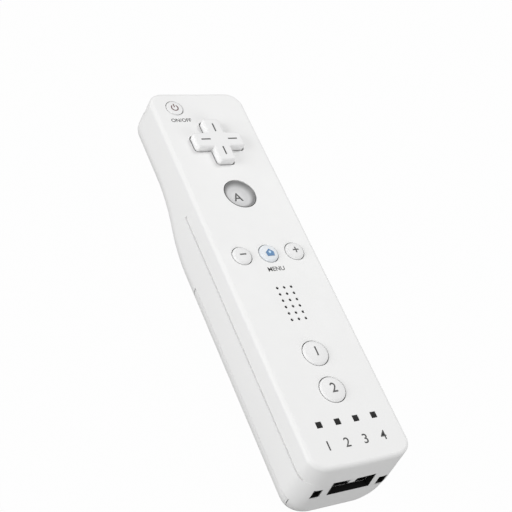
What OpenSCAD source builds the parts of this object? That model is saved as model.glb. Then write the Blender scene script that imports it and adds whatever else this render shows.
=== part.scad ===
// Motion controller wand: a white bar with push buttons, a pull trigger, a pointer window and a socket.
// Frame: X across the width, +Y to the far (pointing) end, +Z out of the button face.
// The origin is under the middle of the body, on the plane that its back rests on.

/* [Body] */
// Length from the far end to the socket end
body_len = 146.4; // [143:0.2:152]
// Width of the body
body_w = 36.2; // [35.6:0.2:40]
// Depth of the grip from the button face to the back
body_d = 28.4; // [28.2:0.1:31]
// Depth of the head, ahead of the grip
head_d = 21.3; // [20.8:0.1:21.9]
// Wall of both shells
wall = 2; // [1.6:0.1:2.2]
// Rounding of the edge round the face
face_r = 1.8; // [1:0.1:1.9]
// Rounding between the back and the sides
rear_r = 10; // [8.5:0.1:10.2]
// Plan radius of the far corners
far_r = 5.6; // [4.5:0.1:6.5]
// Plan radius of the socket end corners
near_r = 6.6; // [6:0.1:8]
// Plan radius of the bowed socket end
near_bow_r = 200; // [120:5:400]
// Rounding under the far end
far_low_r = 3; // [2.6:0.1:4]
// Rounding under the socket end
near_low_r = 5.4; // [4.4:0.1:5.6]
// Depth of the seam below the face
seam_depth = 7.9; // [7.6:0.1:8.1]
// Distance from the far end to the start of the grip's shoulder
shoulder_from_far = 58.8; // [58:0.1:59.6]
// Length of the shoulder's S curve
shoulder_run = 36; // [35.2:0.1:36.8]

/* [Buttons] */
// Height of the button caps above the face
cap_rise = 1; // [0.6:0.1:1.4]
// Rounding of the cap edges
cap_edge = 0.6; // [0.3:0.1:0.9]
// Gap between a cap and its hole
cap_gap = 0.25; // [0.2:0.05:0.35]
// Width of the flange that keeps a cap in its hole
flange_w = 0.8; // [0.6:0.1:1]
// Thickness of that flange
flange_t = 0.9; // [0.7:0.1:1.2]
// Height of the rubber domes
dome_h = 2.2; // [1.8:0.1:2.6]
// Top radius of the rubber domes
dome_top_r = 1.4; // [1.2:0.1:1.6]
// Foot radius of the rubber domes
dome_foot_r = 2.4; // [2:0.1:2.8]
// Cap radius of the minus, house and plus buttons
small_r = 3.25; // [2.8:0.05:3.5]
// Distance between those three buttons
small_pitch = 9.86; // [9.4:0.02:10.4]
// Distance from the far end to those three buttons
small_from_far = 69.74; // [68:0.02:71]
// Cap radius of the two numbered buttons
number_r = 4.25; // [3.8:0.05:4.6]
// Distance from the far end to the first numbered button
one_from_far = 107.3; // [106:0.1:108]
// Distance from the far end to the second numbered button
two_from_far = 120.1; // [119:0.1:121]
// Cap radius of the power button
power_r = 2.95; // [2.6:0.05:3.2]
// Distance of the power button from the middle
power_x = 9.9; // [9:0.1:10.4]
// Distance from the far end to the power button
power_from_far = 7.1; // [6.8:0.1:8]
// Height of the power cap above the face
power_rise = 0.25; // [0.1:0.05:0.5]
// Radius of the hole for the large dished button
main_hole_r = 5.8; // [5.4:0.1:6.2]
// Distance from the far end to the large button
main_from_far = 45.1; // [44:0.1:46]
// Depth of its dish
main_dish = 1.5; // [0.8:0.1:1.8]
// Width of its rim
main_rim = 0.35; // [0.2:0.05:0.6]

/* [Direction pad] */
// Length of the cross from tip to tip
pad_len = 18.2; // [17.6:0.1:18.8]
// Width of an arm
pad_arm = 6.2; // [5.8:0.1:6.6]
// Corner radius of the arm ends
pad_corner = 0.8; // [0.4:0.1:1.2]
// Height of the cross above the face
pad_rise = 2.4; // [2:0.1:2.6]
// Distance from the far end to the middle of the cross
pad_from_far = 23.3; // [22.8:0.1:23.8]
// Gap between the cross and its hole
pad_gap = 0.4; // [0.35:0.05:0.5]
// Radius of its flange
pad_flange_r = 10.4; // [10.2:0.1:10.8]
// Radius of the ball that it rocks on
pad_ball_r = 1.5; // [1.2:0.1:1.8]
// Running clearance of the ball
ball_gap = 0.05; // [0.03:0.01:0.1]
// Distance of its rubber domes from the middle
pad_dome_x = 6.4; // [6:0.1:6.8]

/* [Face details] */
// Columns of speaker holes
grille_columns = 3; // [2:1:4]
// Rows of speaker holes
grille_rows = 6; // [4:1:7]
// Distance between the columns
grille_dx = 2.58; // [2.4:0.02:2.8]
// Distance between the rows
grille_dy = 2.38; // [2.2:0.02:2.5]
// Radius of a speaker hole
grille_r = 0.5; // [0.4:0.05:0.6]
// Distance from the far end to the middle of the grille
grille_from_far = 88.8; // [88:0.1:89.4]
// Side of a lamp window
lamp_side = 2; // [1.6:0.1:2.4]
// Distance between the lamps
lamp_pitch = 6.56; // [6:0.02:7]
// Distance from the far end to the lamps
lamp_from_far = 130.4; // [129.6:0.1:131]

/* [Trigger] */
// Distance from the far end to the trigger's pivot
pivot_from_far = 17.5; // [17.2:0.1:18]
// Height of the pivot over the head's underside
pivot_rise = 4.4; // [4.2:0.1:4.6]
// Radius of the pivot pin
pin_r = 1; // [0.8:0.05:1.1]
// Running clearance of the pin
pin_gap = 0.05; // [0.03:0.01:0.1]
// Width of the trigger
trigger_w = 16; // [15:0.2:16.4]
// Length from the pivot to the trigger's rear face
trigger_len = 24.2; // [23.6:0.1:24.6]
// How far the tip hangs below the head
tip_drop = 6.2; // [5.8:0.1:6.5]
// Radius of the tip
tip_r = 1.6; // [1.2:0.1:2]
// Radius of the finger scoop
scoop_r = 34; // [28:1:50]
// Gap round the trigger
trigger_gap = 0.4; // [0.35:0.05:0.6]
// Pull of the trigger in degrees
trigger_pull = 6; // [4:0.5:6.5]

/* [Battery bay] */
// Radius of a cell
cell_r = 7.25; // [7.1:0.05:7.25]
// Clearance round the cells
cell_gap = 0.3; // [0.2:0.05:0.4]
// Wall of the battery cover
cover_t = 1.6; // [1.4:0.1:1.8]
// Height of the cover's side edges
cover_edge = 9.4; // [8.6:0.1:9.6]
// Distance from the socket end to the cover
cover_from_near = 3.4; // [3.2:0.1:3.8]
// Length of the cover
cover_len = 75.2; // [74.6:0.1:75.6]
// Gap round the cover
cover_gap = 0.25; // [0.2:0.05:0.3]
// Extra gap at the far end of the cover, which its edge swings through
cover_swing_gap = 0.2; // [0.15:0.05:0.3]
// Height of the cover's hinge, also the rounding of its end
hinge_z = 1.6; // [1.5:0.1:1.8]
// Radius of the cover's hinge pins
hinge_r = 0.7; // [0.6:0.05:0.75]
// Running clearance of those pins
hinge_gap = 0.05; // [0.03:0.01:0.1]
// Distance of each hinge eye from the middle
hinge_x = 5.6; // [5:0.1:6]
// Room for the pairing button, between the bay and the end of the cover
pair_room = 9.2; // [8.6:0.1:9.6]
// Length of a coil contact
coil_len = 5; // [4.6:0.1:5.4]
// Thickness of the contact plates
plate_t = 0.4; // [0.3:0.05:0.5]

/* [Socket] */
// Width of the socket's mouth
socket_w = 14.8; // [14:0.1:15.4]
// Height of the socket's mouth
socket_h = 5.8; // [5.6:0.1:6]
// Depth of the socket
socket_depth = 7.8; // [7:0.2:8.2]
// Width of the latch slots beside it
slot_w = 3.2; // [2.6:0.1:3.6]
// Height of the latch slots
slot_h = 3.6; // [3:0.1:4]
// Distance of the latch slots from the middle
slot_x = 11.9; // [11.6:0.1:12.4]
// Number of contact strips
strip_count = 6; // [4:1:8]

/* [Pointer window] */
// Width of the window in the far end
window_w = 23.6; // [20:0.2:24]
// Height of the window
window_h = 11; // [9:0.2:11.4]
// Corner radius of the window
window_r = 2; // [1:0.1:3]
// Distance from the face to the middle of the window
window_depth = 10.4; // [10:0.1:10.8]

/* [Fasteners] */
// Shank radius of the case screws
screw_r = 1; // [0.8:0.05:1.1]
// Head radius of the case screws
screw_head_r = 2; // [1.8:0.1:2.1]
// Length of the shank
screw_len = 10; // [9:0.2:10.4]
// Height of the head
screw_head_h = 1.6; // [1.2:0.1:1.8]

/* [Hidden] */
$fn = 64;
eps = 0.01;
// Rounded stretches lie this much inside the ones that they run on from, so that each join is clean.
step = 0.08;

white = [0.94, 0.94, 0.94];
half_w = body_w / 2;
far_y = body_len / 2;
near_y = -body_len / 2;
face_z = body_d;
face_in = face_z - wall;
seam_z = face_z - seam_depth;
head_z = body_d - head_d;

// The lengths above are those of a body this long, and stretch with it.
drawn_len = 146.4;
stretch = body_len / drawn_len;

// The shoulder is two equal arcs, tangent to the grip's back and to the head's underside.
shoulder_y = far_y - shoulder_from_far * stretch;
shoulder_len = shoulder_run * stretch;
shoulder_end = shoulder_y + shoulder_len;
shoulder_angle = 2 * atan(head_z / shoulder_len);
shoulder_r = shoulder_len / (2 * sin(shoulder_angle));

// The bowed socket end runs into its corners without a break.
bow_y = near_y + near_bow_r;
near_corner_x = half_w - near_r;
near_corner_y = bow_y - sqrt(pow(near_bow_r - near_r, 2) - pow(near_corner_x, 2));
bow_angle = asin(near_corner_x / (near_bow_r - near_r));
far_corner_x = half_w - far_r;
far_corner_y = far_y - far_r;

// The board lies below the buttons, on ribs over the battery bay.
board_t = 1.2;
board_top = face_in - flange_t - dome_h - 2.7;
board_low = board_top - board_t;
board_x = half_w - wall - 1.2;
stem_low = board_top + dome_h;

pad_y = far_y - pad_from_far * stretch;
main_y = far_y - main_from_far * stretch;
small_y = far_y - small_from_far * stretch;
one_y = far_y - one_from_far * stretch;
two_y = far_y - two_from_far * stretch;
power_y = far_y - power_from_far * stretch;
lamp_y = far_y - lamp_from_far * stretch;
grille_y = far_y - grille_from_far * stretch;

// The cross is free to rock by this many degrees each way.
pad_tilt = 4;
ball_z = face_in - 2;
pad_flange_top = face_in - pad_flange_r * sin(pad_tilt) * 1.6;
pad_flange_low = pad_flange_top - flange_t;

// Heights in the battery bay
cell_z = cover_t + cell_gap + cell_r + 0.5;
cell_x = cell_r + 0.15;
bay_top = cell_z + cell_r + cell_gap;
rib_t = 1.2;
rib_x = 13;
bay_wall = 1.4;
contact_gap = 0.1;

// The socket housing stands behind the end wall, on a shelf, ahead of the bay.
housing_wall = 1.3;
socket_top = seam_z - 0.2;
socket_low = socket_top - socket_h;
housing_y0 = near_y + wall + 0.4;
mouth_len = socket_depth * stretch;
housing_len = mouth_len + housing_wall;
housing_y1 = housing_y0 + housing_len;
shelf_top = socket_low - housing_wall;
bay_y0 = housing_y1 + bay_wall + 0.1;
cover_y0 = near_y + cover_from_near;
cover_y1 = cover_y0 + cover_len * stretch;
cover_end = cover_y1 - cover_swing_gap;
bay_y1 = cover_y1 - pair_room * stretch;
cell_len = bay_y1 - bay_y0 - 2 * plate_t - coil_len - contact_gap;

hinge_y = cover_y0 + hinge_z;
eye_w = 2;
eye_r = hinge_z - 0.25;
ear_w = 1.4;
ear_gap = 0.2;

pivot_y = far_y - pivot_from_far * stretch;
pivot_z = head_z + pivot_rise;
hub_r = pin_r + 1.3;
mouth_y1 = pivot_y + hub_r - 0.6;
reach_len = trigger_len * stretch;
mouth_y0 = pivot_y - reach_len - 1.7;
boss_w = 2.2;
pin_reach = trigger_w / 2 + trigger_gap + boss_w;
pin_over = 0.5;
trigger_front = mouth_y1 - trigger_gap;
trigger_rear = pivot_y - reach_len;
trigger_top = head_z + 2.4;
tip_z = head_z - tip_drop;
spring_y = pivot_y - 10.4;
switch_reach = 20;
switch_y = pivot_y - switch_reach;
switch_low = trigger_top + switch_reach * sin(trigger_pull) + 0.3;

pair_y = (bay_y1 + bay_wall + cover_y1) / 2;
pair_r = 1.9;
pair_travel = 0.5;
pair_shelf = 15;

// The rumble motor fills the room between the bay's end wall and the trigger's mouth.
bay_far = cover_y1 + cover_gap + bay_wall;
motor_r = 3.6;
motor_clip_t = 1.2;
motor_lift = 2.8;
motor_z = wall + motor_lift + motor_r;
weight_r = 3.9;
weight_t = 4;
weight_gap = 0.6;
weight_clear = 4.6;
shaft_r = 0.6;
shaft_gap = 0.04;
motor_y0 = bay_far + 1.55;
weight_y1 = mouth_y0 - weight_clear;
weight_y0 = weight_y1 - weight_t;
motor_y1 = weight_y0 - weight_gap;
motor_len = motor_y1 - motor_y0;

// Chips under the board, kept to its edges
radio_w = 7.5;
radio_x0 = 1.4 - board_x;
radio_x1 = radio_x0 + radio_w;
can_x0 = board_x - 7.9;

camera_y1 = far_y - wall - 2.4;
window_z = face_z - window_depth;
lens_lift = 1.2;

// Each screw: its place, and the height of the seat that its head bears on
head_seat = seam_z - 6.7;
near_seat = shelf_top - rib_t;
screw_spots = [
    [-half_w + 5.1, far_y - 14, head_seat],
    [half_w - 5.1, far_y - 14, head_seat],
    [-half_w + 4.9, near_y + 8.4, near_seat],
    [half_w - 4.9, near_y + 8.4, near_seat]
];
pillar_r = 2.7;
head_pillar_r = 3.3;

// Small helpers

module block(x0, x1, y0, y1, z0, z1) {
    translate([x0, y0, z0]) cube([x1 - x0, y1 - y0, z1 - z0]);
}

module rod_x(r, x0, x1, y, z) {
    translate([x0, y, z]) rotate([0, 90, 0]) cylinder(r = r, h = x1 - x0);
}

module rod_y(r, y0, y1, x, z) {
    translate([x, y0, z]) rotate([-90, 0, 0]) cylinder(r = r, h = y1 - y0);
}

module rod_z(r, z0, z1, x, y) {
    translate([x, y, z0]) cylinder(r = r, h = z1 - z0);
}

// Turns a drawing of height and width into a bar along Y.
module along_y(y0, y1) {
    translate([0, y0, 0]) rotate([-90, -90, 0]) linear_extrude(y1 - y0) children();
}

// Turns a drawing of length and height into a bar along X.
module along_x(x0, x1) {
    translate([x0, 0, 0]) rotate([90, 0, 90]) linear_extrude(x1 - x0) children();
}

// Body forms, each drawn a given inset inside the outer skin

module plan(inset) {
    side = half_w - inset;
    translate([-side, near_corner_y]) square([2 * side, far_corner_y - near_corner_y]);
    translate([-far_corner_x, far_corner_y - 1]) square([2 * far_corner_x, far_r + 1 - inset]);
    for (s = [-1, 1]) {
        translate([s * far_corner_x, far_corner_y]) circle(far_r - inset);
        translate([s * near_corner_x, near_corner_y]) circle(near_r - inset);
    }
    intersection() {
        translate([0, bow_y]) circle(near_bow_r - inset, $fn = 360);
        translate([-near_corner_x, near_y - 1]) square([2 * near_corner_x, near_r + 2]);
    }
}

// Height over the back, and width, of the grip's cross section
module grip_section(inset, top) {
    core = half_w - rear_r;
    translate([rear_r, inset - half_w]) square([top - rear_r, body_w - 2 * inset]);
    translate([inset, -core]) square([rear_r - inset + eps, 2 * core]);
    intersection() {
        for (s = [-1, 1]) translate([rear_r, s * core]) circle(rear_r - inset);
        translate([0, -half_w]) square([rear_r + 1, body_w]);
    }
}

module grip_bar(inset, y0, y1, top) {
    along_y(y0, y1) grip_section(inset, top);
}

// The grip's section, carried up the shoulder's two arcs and on along the head
module rear_form(inset) {
    top = shoulder_r - 0.5;
    grip_bar(inset, near_y - 1, shoulder_y, top);
    translate([0, shoulder_y, shoulder_r]) rotate([0, 90, 0]) rotate([0, 0, -3])
        rotate_extrude(angle = shoulder_angle + 7)
            translate([shoulder_r, 0]) mirror([1, 0]) grip_section(inset + 2 * step, top);
    translate([0, shoulder_end, head_z - shoulder_r]) rotate([180, -90, 0]) rotate([0, 0, -1])
        rotate_extrude(angle = shoulder_angle + 1)
            translate([shoulder_r, 0]) grip_section(inset + step, top);
    translate([0, 0, head_z]) grip_bar(inset, shoulder_end, far_y + 1, top);
}

// Side view: length and height, with both lower ends rounded
module side_view(inset) {
    near_c = near_y + near_low_r;
    far_c = far_y - far_low_r;
    far_low = head_z + far_low_r;
    translate([near_c, inset]) square([far_c - near_c, seam_z]);
    translate([near_y + inset, near_low_r]) square([near_low_r + 1, seam_z]);
    translate([far_c - 1, far_low]) square([far_low_r + 1 - inset, seam_z]);
    translate([near_c, near_low_r]) circle(near_low_r - inset);
    translate([far_c, far_low]) circle(far_low_r - inset);
}

module rear_solid(inset) {
    intersection() {
        linear_extrude(seam_z) plan(inset);
        rear_form(inset);
        along_x(-half_w - 1, half_w + 1) side_view(inset);
    }
}

// The rounded edge round a corner of the face
module edge_turn(x, y, r) {
    translate([x, y, face_z - face_r - step]) rotate_extrude()
        translate([r - face_r - 2 * step, 0]) circle(face_r, $fn = 32);
}

// The face block, with its edge rounded all the way round
module face_solid() {
    rim_z = face_z - face_r;
    edge_z = rim_z - step;
    side_x = half_w - face_r - step;
    translate([0, 0, seam_z]) linear_extrude(rim_z - seam_z) plan(0);
    translate([0, 0, rim_z - 0.5]) linear_extrude(face_r + 0.5) plan(face_r);
    for (s = [-1, 1]) {
        rod_y(face_r, near_corner_y, far_corner_y, s * side_x, edge_z);
        edge_turn(s * far_corner_x, far_corner_y, far_r);
        edge_turn(s * near_corner_x, near_corner_y, near_r);
    }
    rod_x(face_r, -far_corner_x, far_corner_x, far_y - face_r - step, edge_z);
    translate([0, bow_y, edge_z]) rotate([0, 0, -90 - bow_angle])
        rotate_extrude(angle = 2 * bow_angle, $fn = 360)
            translate([near_bow_r - face_r - step, 0]) circle(face_r, $fn = 32);
}

module rounded_square(w, h, r) {
    translate([-w / 2 + r, -h / 2]) square([w - 2 * r, h]);
    translate([-w / 2, -h / 2 + r]) square([w, h - 2 * r]);
    for (sx = [-1, 1], sy = [-1, 1]) translate([sx * (w / 2 - r), sy * (h / 2 - r)]) circle(r, $fn = 32);
}

module cross_outline(grow) {
    rounded_square(pad_len + 2 * grow, pad_arm + 2 * grow, pad_corner + grow);
    rounded_square(pad_arm + 2 * grow, pad_len + 2 * grow, pad_corner + grow);
}

module window_block(grow, y0, y1) {
    translate([0, y0, window_z]) rotate([-90, 0, 0]) linear_extrude(y1 - y0)
        rounded_square(window_w + 2 * grow, window_h + 2 * grow, window_r);
}

// Shells

module face_holes() {
    for (b = [[-small_pitch, small_y, small_r], [0, small_y, small_r], [small_pitch, small_y, small_r],
              [0, one_y, number_r], [0, two_y, number_r], [-power_x, power_y, power_r],
              [0, main_y, main_hole_r - cap_gap]])
        rod_z(b[2] + cap_gap, face_in - 1, face_z + 1, b[0], b[1]);
    translate([0, pad_y, face_in - 1]) linear_extrude(wall + 2) cross_outline(pad_gap);
    for (c = [1:grille_columns], r = [1:grille_rows])
        rod_z(grille_r, face_in - 1, face_z + 1,
              (c - (grille_columns + 1) / 2) * grille_dx, grille_y + (r - (grille_rows + 1) / 2) * grille_dy);
    for (i = [0:3])
        translate([(i - 1.5) * lamp_pitch, lamp_y, face_in + wall / 2])
            cube([lamp_side, lamp_side, wall + 2], center = true);
}

module front_shell() {
    color(white) difference() {
        union() {
            difference() {
                face_solid();
                translate([0, 0, seam_z - 1]) linear_extrude(face_in - seam_z + 1) plan(wall);
            }
            for (s = screw_spots) rod_z(pillar_r, seam_z, face_in + 0.5, s[0], s[1]);
        }
        for (s = screw_spots) rod_z(screw_r, seam_z - 1, s[2] + screw_len + 0.3, s[0], s[1]);
        face_holes();
        window_block(0, far_y - wall - 1, far_y + 1);
    }
}

// Shelves, pillars and the bay's ceiling, carried into the middle of the rear shell's wall
module rear_braces() {
    intersection() {
        union() {
            block(-half_w, half_w, bay_y0, bay_y1, bay_top, bay_top + rib_t);
            block(-half_w, half_w, near_y, bay_y0 - bay_wall + eps, shelf_top - rib_t, shelf_top);
            block(-half_w, half_w, bay_y1 + bay_wall - eps, bay_far, pair_shelf - rib_t, pair_shelf);
            for (s = screw_spots)
                if (s[1] > 0) rod_z(head_pillar_r, head_z, seam_z, s[0], s[1]);
                else rod_z(pillar_r, s[2], seam_z, s[0], s[1]);
        }
        rear_solid(wall / 2);
    }
}

// Walls round the battery bay, board ribs, trigger bosses and the eyes of the cover's hinge
module rear_inside() {
    boss_x = trigger_w / 2 + trigger_gap + boss_w / 2;
    for (s = [-1, 1]) {
        block(s * rib_x - rib_t / 2, s * rib_x + rib_t / 2, bay_y0, bay_y1, bay_top + rib_t - eps, board_low);
        block(s * boss_x - boss_w / 2, s * boss_x + boss_w / 2, pivot_y - hub_r, pivot_y + hub_r,
              head_z + wall / 2, pivot_z + hub_r);
        rod_x(eye_r, s * hinge_x - eye_w / 2, s * hinge_x + eye_w / 2, hinge_y, hinge_z);
        block(s * hinge_x - eye_w / 2, s * hinge_x + eye_w / 2, cover_y0 - cover_gap - 0.5, hinge_y,
              hinge_z - eye_r + 0.2, hinge_z + eye_r - 0.2);
    }
    grip_bar(cover_t + cover_gap, bay_y0 - bay_wall, bay_y0, bay_top + rib_t);
    grip_bar(cover_t + cover_gap, bay_y1, bay_y1 + bay_wall, bay_top + rib_t);
    grip_bar(wall / 2, cover_y1 + cover_gap, cover_y1 + cover_gap + bay_wall, pair_shelf);
}

module rear_shell() {
    open_y0 = cover_y0 - cover_gap;
    open_y1 = cover_y1 + cover_gap;
    color(white) difference() {
        union() {
            difference() {
                rear_solid(0);
                rear_solid(wall);
                block(-half_w - 1, half_w + 1, open_y0, open_y1, -1, cover_edge);
            }
            rear_braces();
            rear_inside();
        }
        // Trigger mouth
        block(-trigger_w / 2 - trigger_gap, trigger_w / 2 + trigger_gap, mouth_y0, mouth_y1,
              -1, trigger_top + 1);
        rod_x(pin_r, -pin_reach - pin_over, pin_reach + pin_over, pivot_y, pivot_z);
        // Socket and latch slots
        block(-socket_w / 2, socket_w / 2, near_y - 1, housing_y0 + eps, socket_low, socket_top);
        for (s = [-1, 1])
            block(s * slot_x - slot_w / 2, s * slot_x + slot_w / 2, near_y - 1, housing_y0 + eps,
                  shelf_top + 0.2, shelf_top + 0.2 + slot_h);
        window_block(0, far_y - wall - 1, far_y + 1);
        for (s = screw_spots) {
            rod_z(screw_r + 0.1, 0, seam_z + 1, s[0], s[1]);
            rod_z(screw_head_r + 0.3, -1, s[2], s[0], s[1]);
        }
        rod_z(pair_r + 0.2, pair_shelf - rib_t - 1, pair_shelf + 1, 0, pair_y);
        for (s = [-1, 1])
            rod_x(hinge_r + hinge_gap, s * hinge_x - eye_w, s * hinge_x + eye_w, hinge_y, hinge_z);
    }
}

module battery_cover() {
    color(white) difference() {
        union() {
            intersection() {
                difference() {
                    grip_bar(0, cover_y0, cover_end, rear_r + 1);
                    grip_bar(cover_t, cover_y0 + cover_t, cover_end - cover_t, rear_r + 2);
                    grip_bar(cover_t + 1.2, cover_y0 - 1, cover_end + 1, rear_r + 2);
                }
                linear_extrude(cover_edge - cover_gap) plan(0);
                along_x(-half_w - 1, half_w + 1) {
                    translate([hinge_y, 0]) square([cover_end - hinge_y + 1, rear_r]);
                    translate([cover_y0, hinge_z]) square([cover_end - hinge_y, rear_r]);
                    translate([hinge_y, hinge_z]) circle(hinge_z);
                }
            }
            for (s = [-1, 1], e = [-1, 1]) {
                ear_x = s * hinge_x + e * (eye_w / 2 + ear_gap + ear_w / 2);
                rod_x(hinge_z, ear_x - ear_w / 2, ear_x + ear_w / 2, hinge_y, hinge_z);
                block(ear_x - ear_w / 2, ear_x + ear_w / 2, hinge_y, hinge_y + 3, 0.5, 2 * hinge_z);
            }
        }
        for (s = [-1, 1])
            block(s * hinge_x - eye_w / 2 - ear_gap, s * hinge_x + eye_w / 2 + ear_gap,
                  cover_y0 - 1, hinge_y + hinge_z + 0.2, -1, 2 * hinge_z + 1);
    }
    color(white) for (s = [-1, 1])
        rod_x(hinge_r, s * hinge_x - eye_w / 2 - ear_gap - 0.3, s * hinge_x + eye_w / 2 + ear_gap + 0.3,
              hinge_y, hinge_z);
}

// Buttons

module cap_profile(r, low, top, edge) {
    translate([0, low]) square([r, top - low - edge]);
    translate([0, low]) square([r - edge, top - low]);
    translate([r - edge, top - edge]) circle(edge, $fn = 32);
}

// A round cap, the flange that keeps it in and the stem that meets its rubber dome
module push_button(x, y, r, top) {
    translate([x, y, 0]) {
        rotate_extrude() cap_profile(r, face_in - flange_t, top, cap_edge);
        rod_z(r + cap_gap + flange_w, face_in - flange_t, face_in, 0, 0);
        rod_z(dome_top_r, stem_low, face_in - flange_t + eps, 0, 0);
    }
}

module power_button() {
    color(white) push_button(-power_x, power_y, power_r, face_z + power_rise);
}

module main_button() {
    r = main_hole_r - cap_gap;
    dish_r = r - main_rim;
    ball = (dish_r * dish_r + main_dish * main_dish) / (2 * main_dish);
    top = face_z - 0.2;
    color([0.72, 0.72, 0.73]) difference() {
        push_button(0, main_y, r, top);
        translate([0, main_y, top + ball - main_dish]) sphere(ball, $fn = 96);
    }
}

module minus_button() {
    color(white) push_button(-small_pitch, small_y, small_r, face_z + cap_rise);
}

module house_button() {
    color([0.9, 0.94, 0.97]) push_button(0, small_y, small_r, face_z + cap_rise);
}

module plus_button() {
    color(white) push_button(small_pitch, small_y, small_r, face_z + cap_rise);
}

module one_button() {
    color(white) push_button(0, one_y, number_r, face_z + cap_rise);
}

module two_button() {
    color(white) push_button(0, two_y, number_r, face_z + cap_rise);
}

// Direction pad on its ball

module direction_pad() {
    color(white) difference() {
        union() {
            translate([0, pad_y, pad_flange_low])
                linear_extrude(face_z + pad_rise - pad_flange_low) cross_outline(0);
            rod_z(pad_flange_r, pad_flange_low, pad_flange_top, 0, pad_y);
        }
        translate([0, pad_y, ball_z]) sphere(pad_ball_r + ball_gap);
        rod_z(pad_ball_r + ball_gap, pad_flange_low - 1, ball_z, 0, pad_y);
    }
}

module pad_ball() {
    color("silver") translate([0, pad_y, ball_z]) sphere(pad_ball_r);
}

module pad_post() {
    color([0.85, 0.85, 0.85]) difference() {
        rod_z(pad_ball_r + 0.5, board_top, ball_z - pad_ball_r * 0.6, 0, pad_y);
        translate([0, pad_y, ball_z]) sphere(pad_ball_r + ball_gap);
    }
}

// Rubber domes on the board

module dome(x, y, h) {
    color([0.55, 0.56, 0.58]) translate([x, y, board_top]) difference() {
        cylinder(r1 = dome_foot_r, r2 = dome_top_r, h = h);
        translate([0, 0, -eps]) cylinder(r1 = dome_foot_r - 0.6, r2 = dome_top_r - 0.6, h = h - 0.7);
    }
}

module power_dome() { dome(-power_x, power_y, dome_h); }

module main_dome() { dome(0, main_y, dome_h); }

module minus_dome() { dome(-small_pitch, small_y, dome_h); }

module house_dome() { dome(0, small_y, dome_h); }

module plus_dome() { dome(small_pitch, small_y, dome_h); }

module one_dome() { dome(0, one_y, dome_h); }

module two_dome() { dome(0, two_y, dome_h); }

module pad_domes() {
    low = (pad_dome_x + dome_top_r) * sin(pad_tilt) * 1.5;
    for (a = [0:90:270])
        dome(pad_dome_x * cos(a), pad_y + pad_dome_x * sin(a), pad_flange_low - board_top - low);
}

// Trigger

// Length and height of the trigger's side, with a round tip and a hollow for the finger
module trigger_side() {
    tip_y = trigger_rear + tip_r;
    chord_y = trigger_front - tip_y;
    chord_z = head_z - tip_z;
    chord = sqrt(chord_y * chord_y + chord_z * chord_z);
    back_off = sqrt(scoop_r * scoop_r - chord * chord / 4);
    round_tip = [for (a = [270:-15:180]) [tip_y + tip_r * cos(a), tip_z + tip_r + tip_r * sin(a)]];
    difference() {
        polygon(concat([[trigger_front, trigger_top], [trigger_front, head_z]], round_tip,
                       [[trigger_rear, trigger_top]]));
        translate([(trigger_front + tip_y) / 2 + back_off * chord_z / chord,
                   (head_z + tip_z) / 2 - back_off * chord_y / chord]) circle(scoop_r, $fn = 180);
    }
}

module rear_trigger() {
    reach = trigger_w / 2;
    color(white) difference() {
        union() {
            along_x(-reach, reach) trigger_side();
            rod_x(hub_r, -reach, reach, pivot_y, pivot_z);
            block(-reach, reach, pivot_y - hub_r + 0.3, trigger_front - 0.3, trigger_top - 1, pivot_z);
        }
        rod_x(pin_r + pin_gap, -trigger_w, trigger_w, pivot_y, pivot_z);
    }
}

module trigger_pin() {
    color("silver") rod_x(pin_r, -pin_reach, pin_reach, pivot_y, pivot_z);
}

module trigger_switch() {
    color([0.15, 0.15, 0.16]) {
        block(-3, 3, switch_y - 3, switch_y + 3, switch_low + 0.8, board_low);
        rod_z(1.5, switch_low, switch_low + 0.8 + eps, 0, switch_y);
    }
}

// Coils: one unbroken wire, worked out along a helix

coil_sides = 6;
coil_rings = 8;

function helix(r, len, turns) =
    [for (i = [0:turns * coil_rings])
        let (t = i / (turns * coil_rings)) [r * cos(360 * turns * t), r * sin(360 * turns * t), len * t]];

function coil_skin(r, len, turns, wire) =
    [for (i = [0:turns * coil_rings], k = [0:coil_sides - 1])
        let (t = i / (turns * coil_rings), a = 360 * turns * t, b = 360 * k / coil_sides)
            [(r + wire * cos(b)) * cos(a), (r + wire * cos(b)) * sin(a), len * t + wire * sin(b)]];

function coil_faces(rings) = concat(
    [for (i = [0:rings - 1], k = [0:coil_sides - 1])
        let (a = i * coil_sides + k, b = i * coil_sides + (k + 1) % coil_sides)
            [a, b, b + coil_sides]],
    [for (i = [0:rings - 1], k = [0:coil_sides - 1])
        let (a = i * coil_sides + k, b = i * coil_sides + (k + 1) % coil_sides)
            [a, b + coil_sides, a + coil_sides]],
    [for (k = [1:coil_sides - 2]) [0, k + 1, k]],
    [for (k = [1:coil_sides - 2]) [rings * coil_sides, rings * coil_sides + k, rings * coil_sides + k + 1]]);

function least_gap(points, wire) =
    min([for (i = [0:len(points) - 1 - coil_rings / 2], j = [i + coil_rings / 2:len(points) - 1])
        norm(points[i] - points[j])]) - 2 * wire;

module coil(r, length, turns, wire) {
    run = length - 2 * wire;
    translate([0, 0, wire]) polyhedron(coil_skin(r, run, turns, wire), coil_faces(turns * coil_rings));
    echo(coil_least_gap = least_gap(helix(r, run, turns), wire));
}

module trigger_spring() {
    color("silver") translate([0, spring_y, trigger_top]) coil(2.2, board_low - trigger_top, 5, 0.3);
}

module left_coil() {
    color("silver") translate([-cell_x, bay_y0 + plate_t, cell_z]) rotate([-90, 0, 0])
        coil(3, coil_len, 4, 0.35);
}

module right_coil() {
    color("silver") translate([cell_x, bay_y1 - plate_t, cell_z]) rotate([90, 0, 0])
        coil(3, coil_len, 4, 0.35);
}

// Battery bay

module cell() {
    nub = 1;
    rotate([-90, 0, 0]) {
        cylinder(r = cell_r, h = cell_len - nub);
        translate([0, 0, cell_len - nub - eps]) cylinder(r = 2.7, h = nub + eps);
    }
}

module left_cell() {
    color([0.2, 0.2, 0.22]) translate([-cell_x, bay_y0 + plate_t + coil_len, cell_z]) cell();
}

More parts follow.
